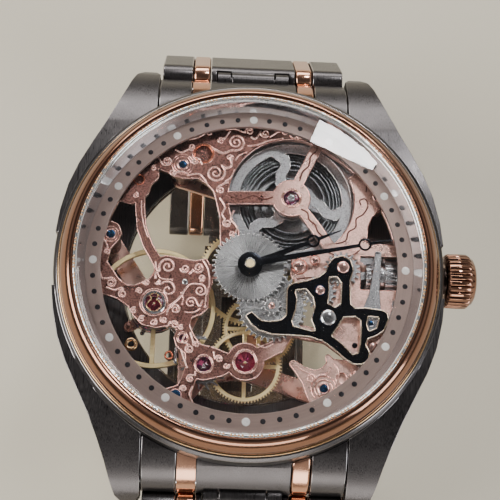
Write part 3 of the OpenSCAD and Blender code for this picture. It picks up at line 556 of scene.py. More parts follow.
CASE_STEEL = Metal(
    "case_steel_brushed", (0.118, 0.11, 0.112), (0.07, 0.066, 0.068), (0.24, 0.4),
    stretch=(14000.0, 350.0, 14000.0), relief=0.25,
)
CASE_EDGE = Metal("case_steel_polished", (0.26, 0.245, 0.25), (0.21, 0.2, 0.205), (0.1, 0.2), relief=0.02)
MIRROR_STEEL = Metal("mirror_steel", (0.80, 0.80, 0.82), (0.72, 0.72, 0.75), (0.05, 0.14), relief=0.02)
KEYLESS_STEEL = Metal("keyless_steel", (0.62, 0.62, 0.64), (0.5, 0.5, 0.52), (0.16, 0.3), relief=0.08)
BEZEL_ROSE = Metal("bezel_rose", (0.33, 0.175, 0.12), (0.27, 0.14, 0.095), (0.07, 0.15), relief=0.01)
TRIM_GOLD = Metal("trim_gold", (0.72, 0.47, 0.27), (0.6, 0.38, 0.2), (0.12, 0.24), relief=0.03)
LINK_ROSE = Metal("link_rose", (0.66, 0.37, 0.25), (0.56, 0.3, 0.2), (0.1, 0.22), relief=0.03)
ROSE_EDGE = Metal("rose_polished", (0.93, 0.59, 0.52), (0.82, 0.49, 0.43), (0.1, 0.22), relief=0.03)
COPPER = Metal("copper_ring", (0.62, 0.22, 0.13), (0.5, 0.16, 0.09), (0.14, 0.26), relief=0.05)
ENGRAVED_LINE = Metal("engraved_line", (0.16, 0.075, 0.06), (0.09, 0.04, 0.035), (0.35, 0.5), relief=0.1)
BRIDGE_ROSE = Metal(
    "bridge_rose_striped", (0.78, 0.5, 0.42), (0.6, 0.36, 0.3), (0.22, 0.36),
    stretch=(900.0, 900.0, 300.0), relief=0.2,
)
BLACK_POLISH = Metal("black_polished", (0.035, 0.04, 0.05), (0.02, 0.022, 0.03), (0.08, 0.2), relief=0.02)
PALE_EDGE = Metal("pale_gold_edge", (0.88, 0.76, 0.62), (0.78, 0.64, 0.5), (0.1, 0.2), relief=0.02)
BLUED = Metal("blued_steel", (0.035, 0.10, 0.22), (0.02, 0.06, 0.14), (0.12, 0.22), relief=0.03)
SPRING_BLUE = Metal("spring_blue", (0.10, 0.18, 0.34), (0.06, 0.1, 0.22), (0.2, 0.3), relief=0.03)
DARK_SPRING = Metal("mainspring_steel", (0.3, 0.31, 0.33), (0.18, 0.19, 0.2), (0.2, 0.35), relief=0.05)
RING_MAUVE = Metal(
    "ring_mauve", (0.19, 0.138, 0.122), (0.165, 0.12, 0.106), (0.32, 0.44),
    pattern=Pattern.RINGS, count=6000.0, relief=0.08, metallic=0.75, coat=0.15,
)
DOT_BLACK = Metal(
    "dot_black", (0.01, 0.01, 0.012), (0.006, 0.006, 0.008), (0.3, 0.45),
    metallic=0.0, relief=0.02, gloss=0.08,
)
ROSE_RELIEF = Metal("rose_relief", (1.0, 0.66, 0.58), (0.86, 0.52, 0.45), (0.2, 0.34), relief=0.05)
DOT_PEARL = Metal(
    "dot_pearl", (0.52, 0.51, 0.49), (0.42, 0.41, 0.4), (0.12, 0.25), metallic=0.3, relief=0.03, coat=0.5,
)
NYLON = Metal("gasket_nylon", (0.8, 0.79, 0.75), (0.7, 0.69, 0.66), (0.4, 0.55), metallic=0.0, relief=0.05)
GUN_GREY = Metal(
    "grained_grey", (0.29, 0.29, 0.3), (0.12, 0.12, 0.125), (0.26, 0.42),
    pattern=Pattern.STIPPLE, count=7000.0, relief=0.4,
)
SILVER_EDGE = Metal("silver_edge", (0.78, 0.78, 0.79), (0.7, 0.7, 0.71), (0.12, 0.22), relief=0.02)
BRASS_EDGE = Metal("brass_edge", (0.92, 0.76, 0.42), (0.84, 0.66, 0.34), (0.12, 0.22), relief=0.02)
FLOOR_PAPER = Metal(
    "floor_paper", (0.58, 0.54, 0.44), (0.55, 0.51, 0.415), (0.75, 0.85), metallic=0.0, relief=0.05,
)
PLATE = EngravedPlate()
CRYSTAL = Glass("clear_crystal")
BACK_GLASS = Glass("back_glass", (0.86, 0.81, 0.70))
RUBY = Glass("ruby", (0.62, 0.08, 0.34), 1.76, (0.03, 0.08))


def sunburst(name: str, centre: Point, count: float = 130.0) -> Metal:
    """Makes grey metal with a sunburst.

    Args:
        name: the material's name.
        centre: centre of the rays, in mm.
        count: waves to a radian.

    Returns:
        The finish.
    """
    return Metal(
        name, (0.46, 0.46, 0.46), (0.12, 0.12, 0.125), (0.2, 0.36),
        pattern=Pattern.RAYS, centre=centre, count=count, relief=0.45, depth=0.03,
    )


def turned_brass(name: str, centre: Point) -> Metal:
    """Makes gilt brass with turned rings.

    Args:
        name: the material's name.
        centre: centre of the rings, in mm.

    Returns:
        The finish.
    """
    return Metal(
        name, (0.97, 0.80, 0.44), (0.82, 0.64, 0.32), (0.3, 0.42),
        pattern=Pattern.RINGS, centre=centre, count=9000.0, relief=0.15,
    )


# ---------------------------------------------------------------- mesh work


def from_node(node: str) -> bmesh.types.BMesh:
    """Copies a node's mesh and makes it one clean closed shell.

    Args:
        node: name of the CAD node.

    Returns:
        The copy, with its loose triangles merged and its flat areas made whole.
    """
    shell = bmesh.new()
    shell.from_mesh(frame["nodes"][node].data)
    bmesh.ops.remove_doubles(shell, verts=shell.verts, dist=MERGE * MM)
    bmesh.ops.dissolve_limit(
        shell, angle_limit=math.radians(FLAT), verts=shell.verts, edges=shell.edges
    )
    return shell


def bevel_edges(shell: bmesh.types.BMesh, width: float, segments: int, corner: float) -> None:
    """Rounds a shell's sharp edges and gives the rounds material 1.

    Args:
        shell: mesh to change.
        width: width of the round, in metres.
        segments: faces across the round.
        corner: least angle of an edge that is rounded, in degrees.
    """
    least = math.radians(corner)
    sharp = []
    for edge in shell.edges:
        if len(edge.link_faces) == 2 and edge.calc_face_angle(0.0) > least:
            depth = min(face.calc_area() for face in edge.link_faces) / max(edge.calc_length(), 1e-9)
            if depth > BESIDE * width:
                sharp.append(edge)
    if sharp:
        bmesh.ops.bevel(
            shell, geom=sharp, offset=width, segments=segments, profile=0.5,
            affect="EDGES", clamp_overlap=False, material=1,
        )


def fold_error(shell: bmesh.types.BMesh) -> float:
    """Measures how far a shell's faces are folded over themselves.

    Args:
        shell: mesh to measure.

    Returns:
        The folded area as a share of the whole.
    """
    flat = sum(face.calc_area() for face in shell.faces)
    split = sum(
        (b.vert.co - a.vert.co).cross(c.vert.co - a.vert.co).length / 2
        for a, b, c in shell.calc_loop_triangles()
    )
    return split / flat - 1.0


def soften(
    shell: bmesh.types.BMesh, width: float, segments: int = 2, corner: float = 32.0
) -> bmesh.types.BMesh:
    """Rounds the sharp edges of a shell, as widely as its small details leave room for.

    Args:
        shell: mesh to round; it is freed.
        width: widest round, in mm.
        segments: faces across the round.
        corner: least angle of an edge that is rounded, in degrees.

    Returns:
        The rounded shell.
    """
    for share in WIDTH_SHARES:
        trial = shell.copy()
        bevel_edges(trial, width * share * MM, segments, corner)
        if fold_error(trial) < FOLD_LIMIT:
            shell.free()
            return trial
        trial.free()
    return shell


@dataclass(frozen=True)
class Turned:
    """A closed solid turned about a vertical axis.

    Attributes:
        profile: radius and height of the points of the section, in mm, going round it. Where it
            touches the axis, its first and last points have radius 0.
        centre: place of the axis, in mm.
        steps: faces round the axis.
        material: material number of its faces.
    """

    profile: Sequence[Point]
    centre: Point = CENTRE
    steps: int = 64
    material: int = 0

    def _place(self, radius: float, height: float, step: int) -> Place:
        """Finds a point of the surface.

        Args:
            radius: its distance from the axis, in mm.
            height: its height, in mm.
            step: its number round the axis.

        Returns:
            The point, in metres.
        """
        turn = math.tau * step / self.steps
        x, y = self.centre
        return (x + radius * math.cos(turn)) * MM, (y + radius * math.sin(turn)) * MM, height * MM

    def add_to(self, shell: bmesh.types.BMesh) -> None:
        """Adds the solid to a shell.

        Args:
            shell: mesh to add to.
        """
        rings = [
            [shell.verts.new(self._place(r, h, k)) for k in range(1 if r == 0 else self.steps)]
            for r, h in self.profile
        ]
        pairs = list(zip(rings, rings[1:] + rings[:1]))
        if len(rings[0]) == 1 and len(rings[-1]) == 1:
            pairs = pairs[:-1]
        made = []
        for low, high in pairs:
            for k in range(self.steps):
                near, far = k, k + 1
                corners = [
                    low[near % len(low)], low[far % len(low)], high[far % len(high)], high[near % len(high)],
                ]
                kept = list(dict.fromkeys(corners))
                if len(kept) > 2:
                    made.append(shell.faces.new(kept))
        for face in made:
            face.material_index = self.material
        bmesh.ops.recalc_face_normals(shell, faces=made)


def smooth_path(points: Sequence[Point], steps: int = 6) -> list[Point]:
    """Lays a Catmull-Rom curve through points.

    Args:
        points: the points.
        steps: points of the curve for each gap.

    Returns:
        The points of the curve.
    """
    ends = [points[0], *points, points[-1]]
    path: list[Point] = []
    for a, b, c, d in zip(ends, ends[1:], ends[2:], ends[3:]):
        for k in range(steps):
            t = k / steps
            path.append(tuple(
                0.5 * (
                    2 * q + (r - p) * t + (2 * p - 5 * q + 4 * r - s) * t**2 + (3 * q - p - 3 * r + s) * t**3
                )
                for p, q, r, s in zip(a, b, c, d)
            ))
    path.append(points[-1])
    return path


def finish_mesh(shell: bmesh.types.BMesh, name: str, crease: float = 40.0) -> bpy.types.Mesh:
    """Turns a shell into a smoothly shaded mesh.

    Args:
        shell: mesh to finish; it is freed.
        name: name of the new mesh.
        crease: edges over this angle stay sharp, in degrees.

    Returns:
        The mesh.
    """
    limit = math.radians(crease)
    for face in shell.faces:
        face.smooth = True
    for edge in shell.edges:
        edge.smooth = len(edge.link_faces) == 2 and edge.calc_face_angle(0.0) < limit
    mesh = bpy.data.meshes.new(name)
    shell.to_mesh(mesh)
    shell.free()
    return mesh


def turned_mesh(name: str, parts: Iterable[Turned], crease: float = 60.0) -> bpy.types.Mesh:
    """Makes one mesh of turned solids.

    Args:
        name: name of the new mesh.
        parts: the solids.
        crease: edges over this angle stay sharp, in degrees.

    Returns:
        The mesh.
    """
    shell = bmesh.new()
    for part in parts:
        part.add_to(shell)
    return finish_mesh(shell, name, crease)


def settle(
    mesh: bpy.types.Mesh,
    name: str,
    body: str,
    finishes: Iterable[Finish],
    replaces: Sequence[str] = (),
    weighted: bool = True,
) -> bpy.types.Object:
    """Makes a mesh a piece of the watch.

    Args:
        mesh: the piece's mesh.
        name: the piece's name.
        body: CAD body that it rides on.
        finishes: its finishes in the order of the mesh's material numbers.
        replaces: CAD nodes that it stands for.
        weighted: whether its normals favour large flat faces.

    Returns:
        The piece.
    """
    piece = bpy.data.objects.new(name, mesh)
    bpy.context.scene.collection.objects.link(piece)
    if not mesh.materials:
        for finish in finishes:
            mesh.materials.append(finish.build())
    if weighted:
        modifier = piece.modifiers.new("normals", "WEIGHTED_NORMAL")
        modifier.keep_sharp = True
        bake_modifiers(piece)
    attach(piece, body)
    if replaces:
        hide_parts(*replaces)
    LOG.info("%s: %d faces on %s", name, len(piece.data.polygons), body)
    return piece


def bake_modifiers(piece: bpy.types.Object) -> None:
    """Makes a piece's evaluated mesh its own and removes its modifiers.

    Args:
        piece: the object to change.
    """
    graph = bpy.context.evaluated_depsgraph_get()
    mesh = bpy.data.meshes.new_from_object(
        piece.evaluated_get(graph), preserve_all_data_layers=True, depsgraph=graph
    )
    piece.modifiers.clear()
    piece.data = mesh


BODY_OF = {node: body for body, nodes in frame["record"]["behaviour"]["bodies"].items() for node in nodes}


@dataclass(frozen=True)
class Dressed:
    """One CAD node that is shown with rounded edges.

    Attributes:
        node: the node's name.
        finish: finish of its faces.
        edge: finish of its rounded edges.
        width: width of the rounds, in mm.
        segments: faces across a round.
    """

    node: str
    finish: Finish
    edge: Finish
    width: float
    segments: int = 2

    def build(self) -> None:
        """Makes the piece, which stands for the node."""
        mesh = finish_mesh(soften(from_node(self.node), self.width, self.segments), self.node)
        finishes = (self.finish, self.edge)
        name = f"{self.node}_finished"
        settle(mesh, name, BODY_OF[self.node], finishes, (self.node,))


# ---------------------------------------------------------------- grown pieces


class Grower:
    """Geometry node trees for what repeats or follows a path."""

    def __init__(self) -> None:
        """Builds every tree once."""
        self.strands = self._strands()
        self.rims = self._rims()
        self.dots = self._dots()

    @staticmethod
    def _close(t: Tree, geometry: bpy.types.NodeSocket) -> None:
        """Makes the geometry real and smooth, gives it its material and ends the tree with it.

        Args:
            t: the tree, with a Material input.
            geometry: what it has grown.
        """
        real = t.add("GeometryNodeRealizeInstances", {0: geometry})
        smooth = t.add("GeometryNodeSetShadeSmooth", {0: real.outputs[0]})
        dressed = t.add("GeometryNodeSetMaterial", {0: smooth.outputs[0], 2: t.start["Material"]})
        t.link(dressed.outputs[0], t.end[0])

    @classmethod
    def _strands(cls) -> Tree:
        """Builds the tree that makes round strands of lines with a width at each point.

        Returns:
            The tree. A ball closes the ends of each strand.
        """
        inputs = {
            "Lines": ("Geometry", None),
            "Facets": ("Int", 8),
            "Eye Size": ("Float", 1.0),
            "Material": ("Material", None),
        }
        t = Tree.new_group("strands", "GeometryNodeTree", inputs, {"Geometry": "Geometry"})
        curve = t.add("GeometryNodeMeshToCurve", {0: t.start["Lines"]}).outputs[0]
        width = t.add("GeometryNodeInputNamedAttribute", {"Name": "width"}, data_type="FLOAT").outputs[0]
        section = t.add("GeometryNodeCurvePrimitiveCircle", {"Resolution": t.start["Facets"], "Radius": 1.0})
        wires = {0: curve, 1: section.outputs[0], "Scale": width, "Fill Caps": True}
        tube = t.add("GeometryNodeCurveToMesh", wires).outputs[0]
        ends = t.add("GeometryNodeCurveEndpointSelection", {0: 0, 1: 1}).outputs[0]
        ball = t.add("GeometryNodeMeshIcoSphere", {"Radius": t.start["Eye Size"], "Subdivisions": 2})
        eyes = t.add(
            "GeometryNodeInstanceOnPoints",
            {"Points": curve, "Selection": ends, "Instance": ball.outputs[0], "Scale": width},
        )
        both = t.add("GeometryNodeJoinGeometry", {0: tube})
        t.link(eyes.outputs[0], both.inputs[0])
        cls._close(t, both.outputs[0])
        return t

    @classmethod
    def _rims(cls) -> Tree:
        """Builds the tree that draws a round ring about each point, of that point's size.

        Returns:
            The tree.
        """
        inputs = {
            "Points": ("Geometry", None),
            "Thickness": ("Float", 0.1 * MM),
            "Facets": ("Int", 10),
            "Steps": ("Int", 40),
            "Material": ("Material", None),
        }
        t = Tree.new_group("rims", "GeometryNodeTree", inputs, {"Geometry": "Geometry"})
        size = t.add("GeometryNodeInputNamedAttribute", {"Name": "size"}, data_type="FLOAT").outputs[0]
        circle = t.add("GeometryNodeCurvePrimitiveCircle", {"Resolution": t.start["Steps"], "Radius": 1.0})
        wires = {"Points": t.start["Points"], "Instance": circle.outputs[0], "Scale": size}
        placed = t.add("GeometryNodeInstanceOnPoints", wires)
        real = t.add("GeometryNodeRealizeInstances", {0: placed.outputs[0]})
        wires = {"Resolution": t.start["Facets"], "Radius": t.start["Thickness"]}
        section = t.add("GeometryNodeCurvePrimitiveCircle", wires)
        rings = t.add("GeometryNodeCurveToMesh", {0: real.outputs[0], 1: section.outputs[0]})
        cls._close(t, rings.outputs[0])
        return t

    @classmethod
    def _dots(cls) -> Tree:
        """Builds the tree that puts flat dots on a circle.

        Returns:
            The tree. It leaves out every fifth dot, or keeps only those.
        """
        inputs = {
            "Base": ("Geometry", None),
            "Count": ("Int", 60),
            "Circle Radius": ("Float", 17.0 * MM),
            "Height": ("Float", 8.0 * MM),
            "Dot Radius": ("Float", 0.25 * MM),
            "Dot Height": ("Float", 0.05 * MM),
            "Only Fifths": ("Bool", False),
            "Material": ("Material", None),
        }
        t = Tree.new_group("dial_dots", "GeometryNodeTree", inputs, {"Geometry": "Geometry"})
        circle = t.add(
            "GeometryNodeMeshCircle", {"Vertices": t.start["Count"], "Radius": t.start["Circle Radius"]}
        )
        number = t.add("GeometryNodeInputIndex").outputs[0]
        fifth = t.math("LESS_THAN", t.math("MODULO", number, 5.0), 0.5)
        chosen = t.math("COMPARE", fifth, t.start["Only Fifths"], 0.1)
        ball = t.add("GeometryNodeMeshUVSphere", {"Segments": 20, "Rings": 10, "Radius": 1.0})
        wide = t.start["Dot Radius"]
        flat = t.add("ShaderNodeCombineXYZ", {0: wide, 1: wide, 2: t.start["Dot Height"]})
        placed = t.add(
            "GeometryNodeInstanceOnPoints",
            {
                "Points": circle.outputs[0], "Selection": chosen, "Instance": ball.outputs[0],
                "Scale": flat.outputs[0],
            },
        )
        up = t.add("ShaderNodeCombineXYZ", {2: t.start["Height"]})
        wires = {"Geometry": placed.outputs[0], "Translation": up.outputs[0]}
        lifted = t.add("GeometryNodeTransform", wires)
        cls._close(t, lifted.outputs[0])
        return t

    @staticmethod
    def grow(name: str, tree: Tree, base: bpy.types.Mesh, values: dict[str, object]) -> bpy.types.Mesh:
        """Runs a tree on a base mesh.

        Args:
            name: name of the new mesh.
            tree: the geometry node tree.
            base: points or lines that it grows on.
            values: its inputs by name.

        Returns:
            The plain mesh that it made.
        """
        holder = bpy.data.objects.new(name, base)
        bpy.context.scene.collection.objects.link(holder)
        modifier = holder.modifiers.new("grow", "NODES")
        modifier.node_group = tree.tree
        for item in tree.tree.interface.items_tree:
            if item.in_out == "INPUT" and item.name in values:
                modifier[item.identifier] = values[item.name]
        bake_modifiers(holder)
        mesh = holder.data
        bpy.data.objects.remove(holder)
        return mesh


GROWER = Grower()


@dataclass(frozen=True)
class Strand:
    """A strand along a smooth path, as wide as given at its start and its end.

    Attributes:
        points: points of the path in mm.
        start: radius at its start, in mm.
        end: radius at its end, in mm.
    """

    points: tuple[Point, ...]
    start: float = 0.12
    end: float = 0.1

    def path(self) -> list[Point]:
        """Returns the points of the smooth path."""
        return smooth_path(self.points)


@dataclass(frozen=True)
class Scroll:
    """A strand that ends in a spiral.

    Attributes:
        eye: centre of the spiral in mm.
        radius: outer radius of the spiral in mm.
        begin: angle at which the spiral starts, in degrees.
        turns: turns to its centre, negative for clockwise.
        tail: points before the spiral, in mm.
    """

    eye: Point
    radius: float
    begin: float
    turns: float = 1.5
    tail: tuple[Point, ...] = ()

    @property
    def start(self) -> float:
        """Returns the strand's radius at its start, in mm."""
        return 0.095 + 0.07 * min(self.radius, 1.1)

    @property
    def end(self) -> float:
        """Returns the strand's radius at its centre, in mm."""
        return 0.075

    def path(self) -> list[Point]:
        """Draws the tail and the spiral.

        Returns:
            The points of both.
        """
        steps = max(10, int(abs(self.turns) * 22))
        spiral = []
        eye = 0.3 * min(self.radius, 0.5)
        for k in range(steps + 1):
            t = k / steps
            angle = math.radians(self.begin) + math.tau * self.turns * t
            reach = eye + (self.radius - eye) * (1 - t)
            spiral.append((self.eye[0] + reach * math.cos(angle), self.eye[1] + reach * math.sin(angle)))
        return (smooth_path([*self.tail, spiral[0]])[:-1] if self.tail else []) + spiral


def strand_lines(strands: Iterable[Strand | Scroll], height: float) -> bpy.types.Mesh:
    """Draws strands as loose edges with a width at each point.

    Args:
        strands: the strands.
        height: height of their centre line, in mm.

    Returns:
        The mesh of edges.
    """
    places: list[Place] = []
    edges: list[tuple[int, int]] = []
    widths: list[float] = []
    for strand in strands:
        path = strand.path()
        first = len(places)
        places += [(x * MM, y * MM, height * MM) for x, y in path]
        edges += [(first + k, first + k + 1) for k in range(len(path) - 1)]
        widths += [
            (strand.start + (strand.end - strand.start) * k / (len(path) - 1)) * MM for k in range(len(path))
        ]
    mesh = bpy.data.meshes.new("lines")
    mesh.from_pydata(places, edges, [])
    mesh.attributes.new("width", "FLOAT", "POINT").data.foreach_set("value", widths)
    return mesh


def outline_lines(node: str, radius: float) -> bpy.types.Mesh:
    """Draws the sharp outline of a node's top face as loose edges.

    Args:
        node: name of the CAD node.
        radius: width to give each point, in mm.

    Returns:
        The mesh of edges, sunk by half the radius.
    """
    shell = from_node(node)
    top = max(vertex.co.z for vertex in shell.verts) - 0.002 * MM
    edges = [
        e for e in shell.edges
        if min(v.co.z for v in e.verts) > top and e.calc_face_angle(0.0) > math.radians(30)
        and e.verts[0].co.xy.length > ARBOR_ROOM * MM
    ]
    used = list(dict.fromkeys(v for e in edges for v in e.verts))
    number = {v: k for k, v in enumerate(used)}
    mesh = bpy.data.meshes.new("outline")
    down = Vector((0, 0, -0.4 * radius * MM))
    mesh.from_pydata([v.co + down for v in used], [[number[v] for v in e.verts] for e in edges], [])
    mesh.attributes.new("width", "FLOAT", "POINT").data.foreach_set("value", [radius * MM] * len(used))
    shell.free()
    return mesh


def sized_points(rings: Sequence[tuple[Point, float]], height: float) -> bpy.types.Mesh:
    """Makes loose points with a size each.

    Args:
        rings: centre and radius of each ring, in mm.
        height: height of all of them, in mm.

    Returns:
        The mesh of points.
    """
    mesh = bpy.data.meshes.new("points")
    mesh.from_pydata([(x * MM, y * MM, height * MM) for (x, y), _ in rings], [], [])
    mesh.attributes.new("size", "FLOAT", "POINT").data.foreach_set("value", [r * MM for _, r in rings])
    return mesh


# ---------------------------------------------------------------- case


@dataclass
class Case:
    """Case, bezel, crystal, back and crown.

    Attributes:
        bezel_foot: radius of the bezel's foot.
        bezel_bore: radius of its bore.
        deck: height of the case's deck.
        bezel_top: height of the bezel's crest.
        beads: beads round the crystal.
        crystal_wall: section of the crystal from its foot to its chamfer.
        crystal_dome: section of its dome from the rim inwards.
        crystal_top: height of its middle.
        window: section of the back's window.
        back_rings: radii of the engraved rings of the back.
        crown_radius: radius over the crown's ribs.
        crown_ribs: ribs round the crown.
        rib_steps: faces across a rib.
        groove: depth of the grooves between the ribs.
        crown_span: x of the crown's inner and outer faces.
        stem_height: height of the crown's axis.
    """

    bezel_foot: float = 20.6
    bezel_bore: float = 19.05
    deck: float = 8.75
    bezel_top: float = 10.9
    beads: int = 300
    crystal_wall: tuple[Point, ...] = (
        (0, 9.65), (18.6, 9.65), (18.68, 9.75), (18.68, 10.72), (18.6, 10.85),
    )
    crystal_dome: tuple[Point, ...] = (
        (18.35, 10.96), (14.0, 11.22), (9.0, 11.41), (4.0, 11.52), (1.0, 11.545),
    )
    crystal_top: float = 11.548
    window: tuple[Point, ...] = (
        (0, 0.02), (13.85, 0.02), (13.98, 0.12), (13.98, 1.0), (13.9, 1.08), (0, 1.08),
    )
    back_rings: Point = (14.6, 17.3)
    crown_radius: float = 3.1
    crown_ribs: int = 28
    rib_steps: int = 10
    groove: float = 0.2
    crown_span: Point = (22.0, 25.5)
    stem_height: float = 4.8

    def build(self) -> None:
        """Makes every piece of the case."""
        Dressed("case_middle", CASE_STEEL, CASE_EDGE, 0.22, 3).build()
        Dressed("rehaut_ring", MIRROR_STEEL, MIRROR_STEEL, 0.06).build()
        Dressed("case_back", CASE_STEEL, CASE_EDGE, 0.12).build()
        Dressed("spring_bars", MIRROR_STEEL, MIRROR_STEEL, 0.1).build()
        Dressed("case_gaskets", NYLON, NYLON, 0.04).build()
        self._bezel()
        self._trim()
        self._crystal()
        self._back_glass()
        self._crown()
        self._back_rings()

    def _bezel(self) -> None:
        """Makes the round bezel from a smooth section."""
        foot, bore, low, top = self.bezel_foot, self.bezel_bore, self.deck, self.bezel_top
        outside = smooth_path([
            (foot, low + 0.12), (foot + 0.03, low + 0.4), (foot - 0.1, low + 0.95),
            (foot - 0.42, low + 1.5), (foot - 0.85, top - 0.17), (bore + 0.35, top),
            (bore + 0.08, top - 0.06),
        ])
        section = [(bore, low), (foot - 0.1, low), *outside, (bore, top - 0.2)]
        mesh = turned_mesh("bezel", [Turned(section, steps=ROUND)])
        settle(mesh, "bezel_finished", "case", (BEZEL_ROSE,), ("bezel",), weighted=False)

    def _trim(self) -> None:
        """Makes the gold line at the bezel's foot, and the bright ring and the beads round the crystal."""
        foot, bore, low, top = self.bezel_foot, self.bezel_bore, self.deck, self.bezel_top
        line = smooth_path([
            (foot + 0.02, low + 0.02), (foot + 0.24, low + 0.08), (foot + 0.2, low + 0.26),
            (foot, low + 0.3),
        ])
        inner = smooth_path([
            (18.72, top - 0.3), (18.76, top - 0.12), (18.9, top - 0.04), (bore, top - 0.1),
            (bore + 0.02, top - 0.3),
        ])
        mesh = turned_mesh("trim", [Turned(line, steps=ROUND), Turned(inner, steps=ROUND, material=1)])
        settle(mesh, "bezel_trim", "case", (TRIM_GOLD, MIRROR_STEEL), weighted=False)
        beads = GROWER.grow("beads", GROWER.dots, bpy.data.meshes.new("none"), {
            "Count": self.beads, "Circle Radius": 18.9 * MM, "Height": (top - 0.02) * MM,
            "Dot Radius": 0.13 * MM, "Dot Height": 0.09 * MM, "Only Fifths": False,
            "Material": TRIM_GOLD.build(),
        })
        settle(beads, "bezel_beads", "case", (TRIM_GOLD,), weighted=False)

    def _crystal(self) -> None:
        """Makes the slightly domed crystal with a polished chamfer."""
        section = [*self.crystal_wall, *smooth_path(self.crystal_dome), (0, self.crystal_top)]
        mesh = turned_mesh("crystal", [Turned(section, steps=160)], 25.0)
        settle(mesh, "crystal_finished", "case", (CRYSTAL,), ("crystal",), weighted=False)

    def _back_glass(self) -> None:
        """Makes the flat window of the case back."""
        mesh = turned_mesh("back_glass", [Turned(self.window, steps=120)], 25.0)
        settle(
            mesh, "case_back_window", "case", (BACK_GLASS,), ("case_back_glass",),
            weighted=False,
        )

    def _back_rings(self) -> None:
        """Makes two fine engraved rings on the back."""
        points = sized_points([(CENTRE, radius) for radius in self.back_rings], 0.02)
        rings = GROWER.grow("back_rings", GROWER.rims, points, {
            "Thickness": 0.07 * MM, "Steps": 120, "Material": CASE_EDGE.build(),
        })
        settle(rings, "case_back_rings", "case", (CASE_EDGE,), weighted=False)

    def _crown(self) -> None:
        """Makes the fluted crown with a domed cap."""
        low, high = self.crown_span
        edge = self.crown_radius
        stations = [
            (low, 1.66, 0.0), (low, edge - 0.42, 0.0), (low + 0.12, edge - 0.22, 0.5),
            (low + 0.35, edge - 0.03, 1.0),
            (low + 1.5, edge, 1.0), (high - 1.0, edge - 0.02, 1.0), (high - 0.72, edge - 0.2, 0.6),
            (high - 0.6, edge - 0.38, 0.0), (high - 0.35, edge - 0.5, 0.0), (high - 0.12, edge - 0.9, 0.0),
            (high - 0.03, edge - 1.6, 0.0), (high, 0.6, 0.0),
        ]
        steps = self.crown_ribs * self.rib_steps
        shell = bmesh.new()
        rings = []
        for x, radius, share in stations:
            ring = []
            for k in range(steps):
                turn = math.tau * k / steps
                groove = max(0.0, math.cos(turn * self.crown_ribs)) ** 2
                reach = radius - self.groove * share * groove
                side, up = reach * math.cos(turn), self.stem_height + reach * math.sin(turn)
                ring.append(shell.verts.new((x * MM, side * MM, up * MM)))
            rings.append(ring)
        for a, b in zip(rings, rings[1:]):
            for k in range(steps):
                shell.faces.new((a[k], a[(k + 1) % steps], b[(k + 1) % steps], b[k]))
        shell.faces.new(rings[0])
        shell.faces.new(rings[-1])
        bmesh.ops.recalc_face_normals(shell, faces=shell.faces)
        mesh = finish_mesh(shell, "crown", 50.0)
        settle(mesh, "crown_finished", "crown_and_stem", (BEZEL_ROSE,), ("crown",))


# ---------------------------------------------------------------- dial and hands


@dataclass
class Dial:
    """Chapter ring with its dots, and the hands.

    Attributes:
        track: radius of the dots' circle.
        top: height of the ring's face.
        minute_dot: radius of a minute dot.
        hour_dot: radius of an hour dot.
        dot_rise: how far a dot stands up from the ring.
    """

    track: float = 17.05
    top: float = 8.0
    minute_dot: float = 0.29
    hour_dot: float = 0.44
    dot_rise: float = 0.04

    def build(self) -> None:
        """Makes every piece of the dial."""
        Dressed("chapter_ring", RING_MAUVE, RING_MAUVE, 0.05).build()
        Dressed("hour_hand", BLACK_POLISH, BLACK_POLISH, 0.05).build()
        Dressed("minute_hand", BLACK_POLISH, BLACK_POLISH, 0.05).build()
        Dressed("cannon_pinion", MIRROR_STEEL, MIRROR_STEEL, 0.06).build()
        self._dots("minute_dots", self.minute_dot, False, DOT_BLACK)
        self._dots("hour_dots", self.hour_dot, True, DOT_PEARL)
        self._hubs()

    def _dots(self, name: str, radius: float, fifths: bool, finish: Metal) -> None:
        """Makes the minute or the hour dots.

        Args:
            name: the piece's name.
            radius: radius of a dot, in mm.
            fifths: True for the hours only.
            finish: finish of the dots.
        """
        mesh = GROWER.grow(name, GROWER.dots, bpy.data.meshes.new("none"), {
            "Count": 60, "Circle Radius": self.track * MM, "Height": self.top * MM,
            "Dot Radius": radius * MM, "Dot Height": self.dot_rise * MM, "Only Fifths": fifths,
            "Material": finish.build(),
        })
        settle(mesh, name, "case", (finish,), weighted=False)

    def _hubs(self) -> None:
        """Makes the domed collars of the two hands."""
        for name, body, low, bore in (
            ("hour_hand_collar", "hour_work", 8.1, 1.02), ("minute_hand_collar", "centre", 8.53, 0.62),
        ):
            section = [
                (bore, low), (1.3, low), (1.28, low + 0.08), (bore + 0.3, low + 0.14), (bore, low + 0.12),
            ]
            mesh = turned_mesh(name, [Turned(section)])
            settle(mesh, name, body, (BLACK_POLISH,), weighted=False)


# ---------------------------------------------------------------- movement


def waves(points: Sequence[Point], radius: float = 0.1) -> Strand:
    """Returns an even strand through the points."""
    return Strand(tuple(points), radius, radius)


@dataclass(frozen=True)
class Jewel:
    """A ruby with an oil cup round its hole.

    Attributes:
        axis: place of its hole.
        radius: outer radius.
        hole: radius of the hole.
        low: height of the hole it is pressed into.
        high: height of its face.
    """

    axis: Point
    radius: float
    hole: float
    low: float
    high: float

    def section(self) -> Turned:
        """Draws the jewel.

        Returns:
            The turned solid.
        """
        radius, hole, low, high = self.radius, self.hole, self.low, self.high
        cup = hole + 0.45 * (radius - hole)
        rim = 0.12 * radius
        return Turned([
            (hole, low + 0.03), (radius - 0.03, low + 0.03), (radius, low + 0.08), (radius, high - rim),
            (radius - 0.3 * rim, high - 0.2 * rim), (radius - rim, high), (cup, high - 0.02),
            (hole, high - 0.2),
        ], self.axis, 40)


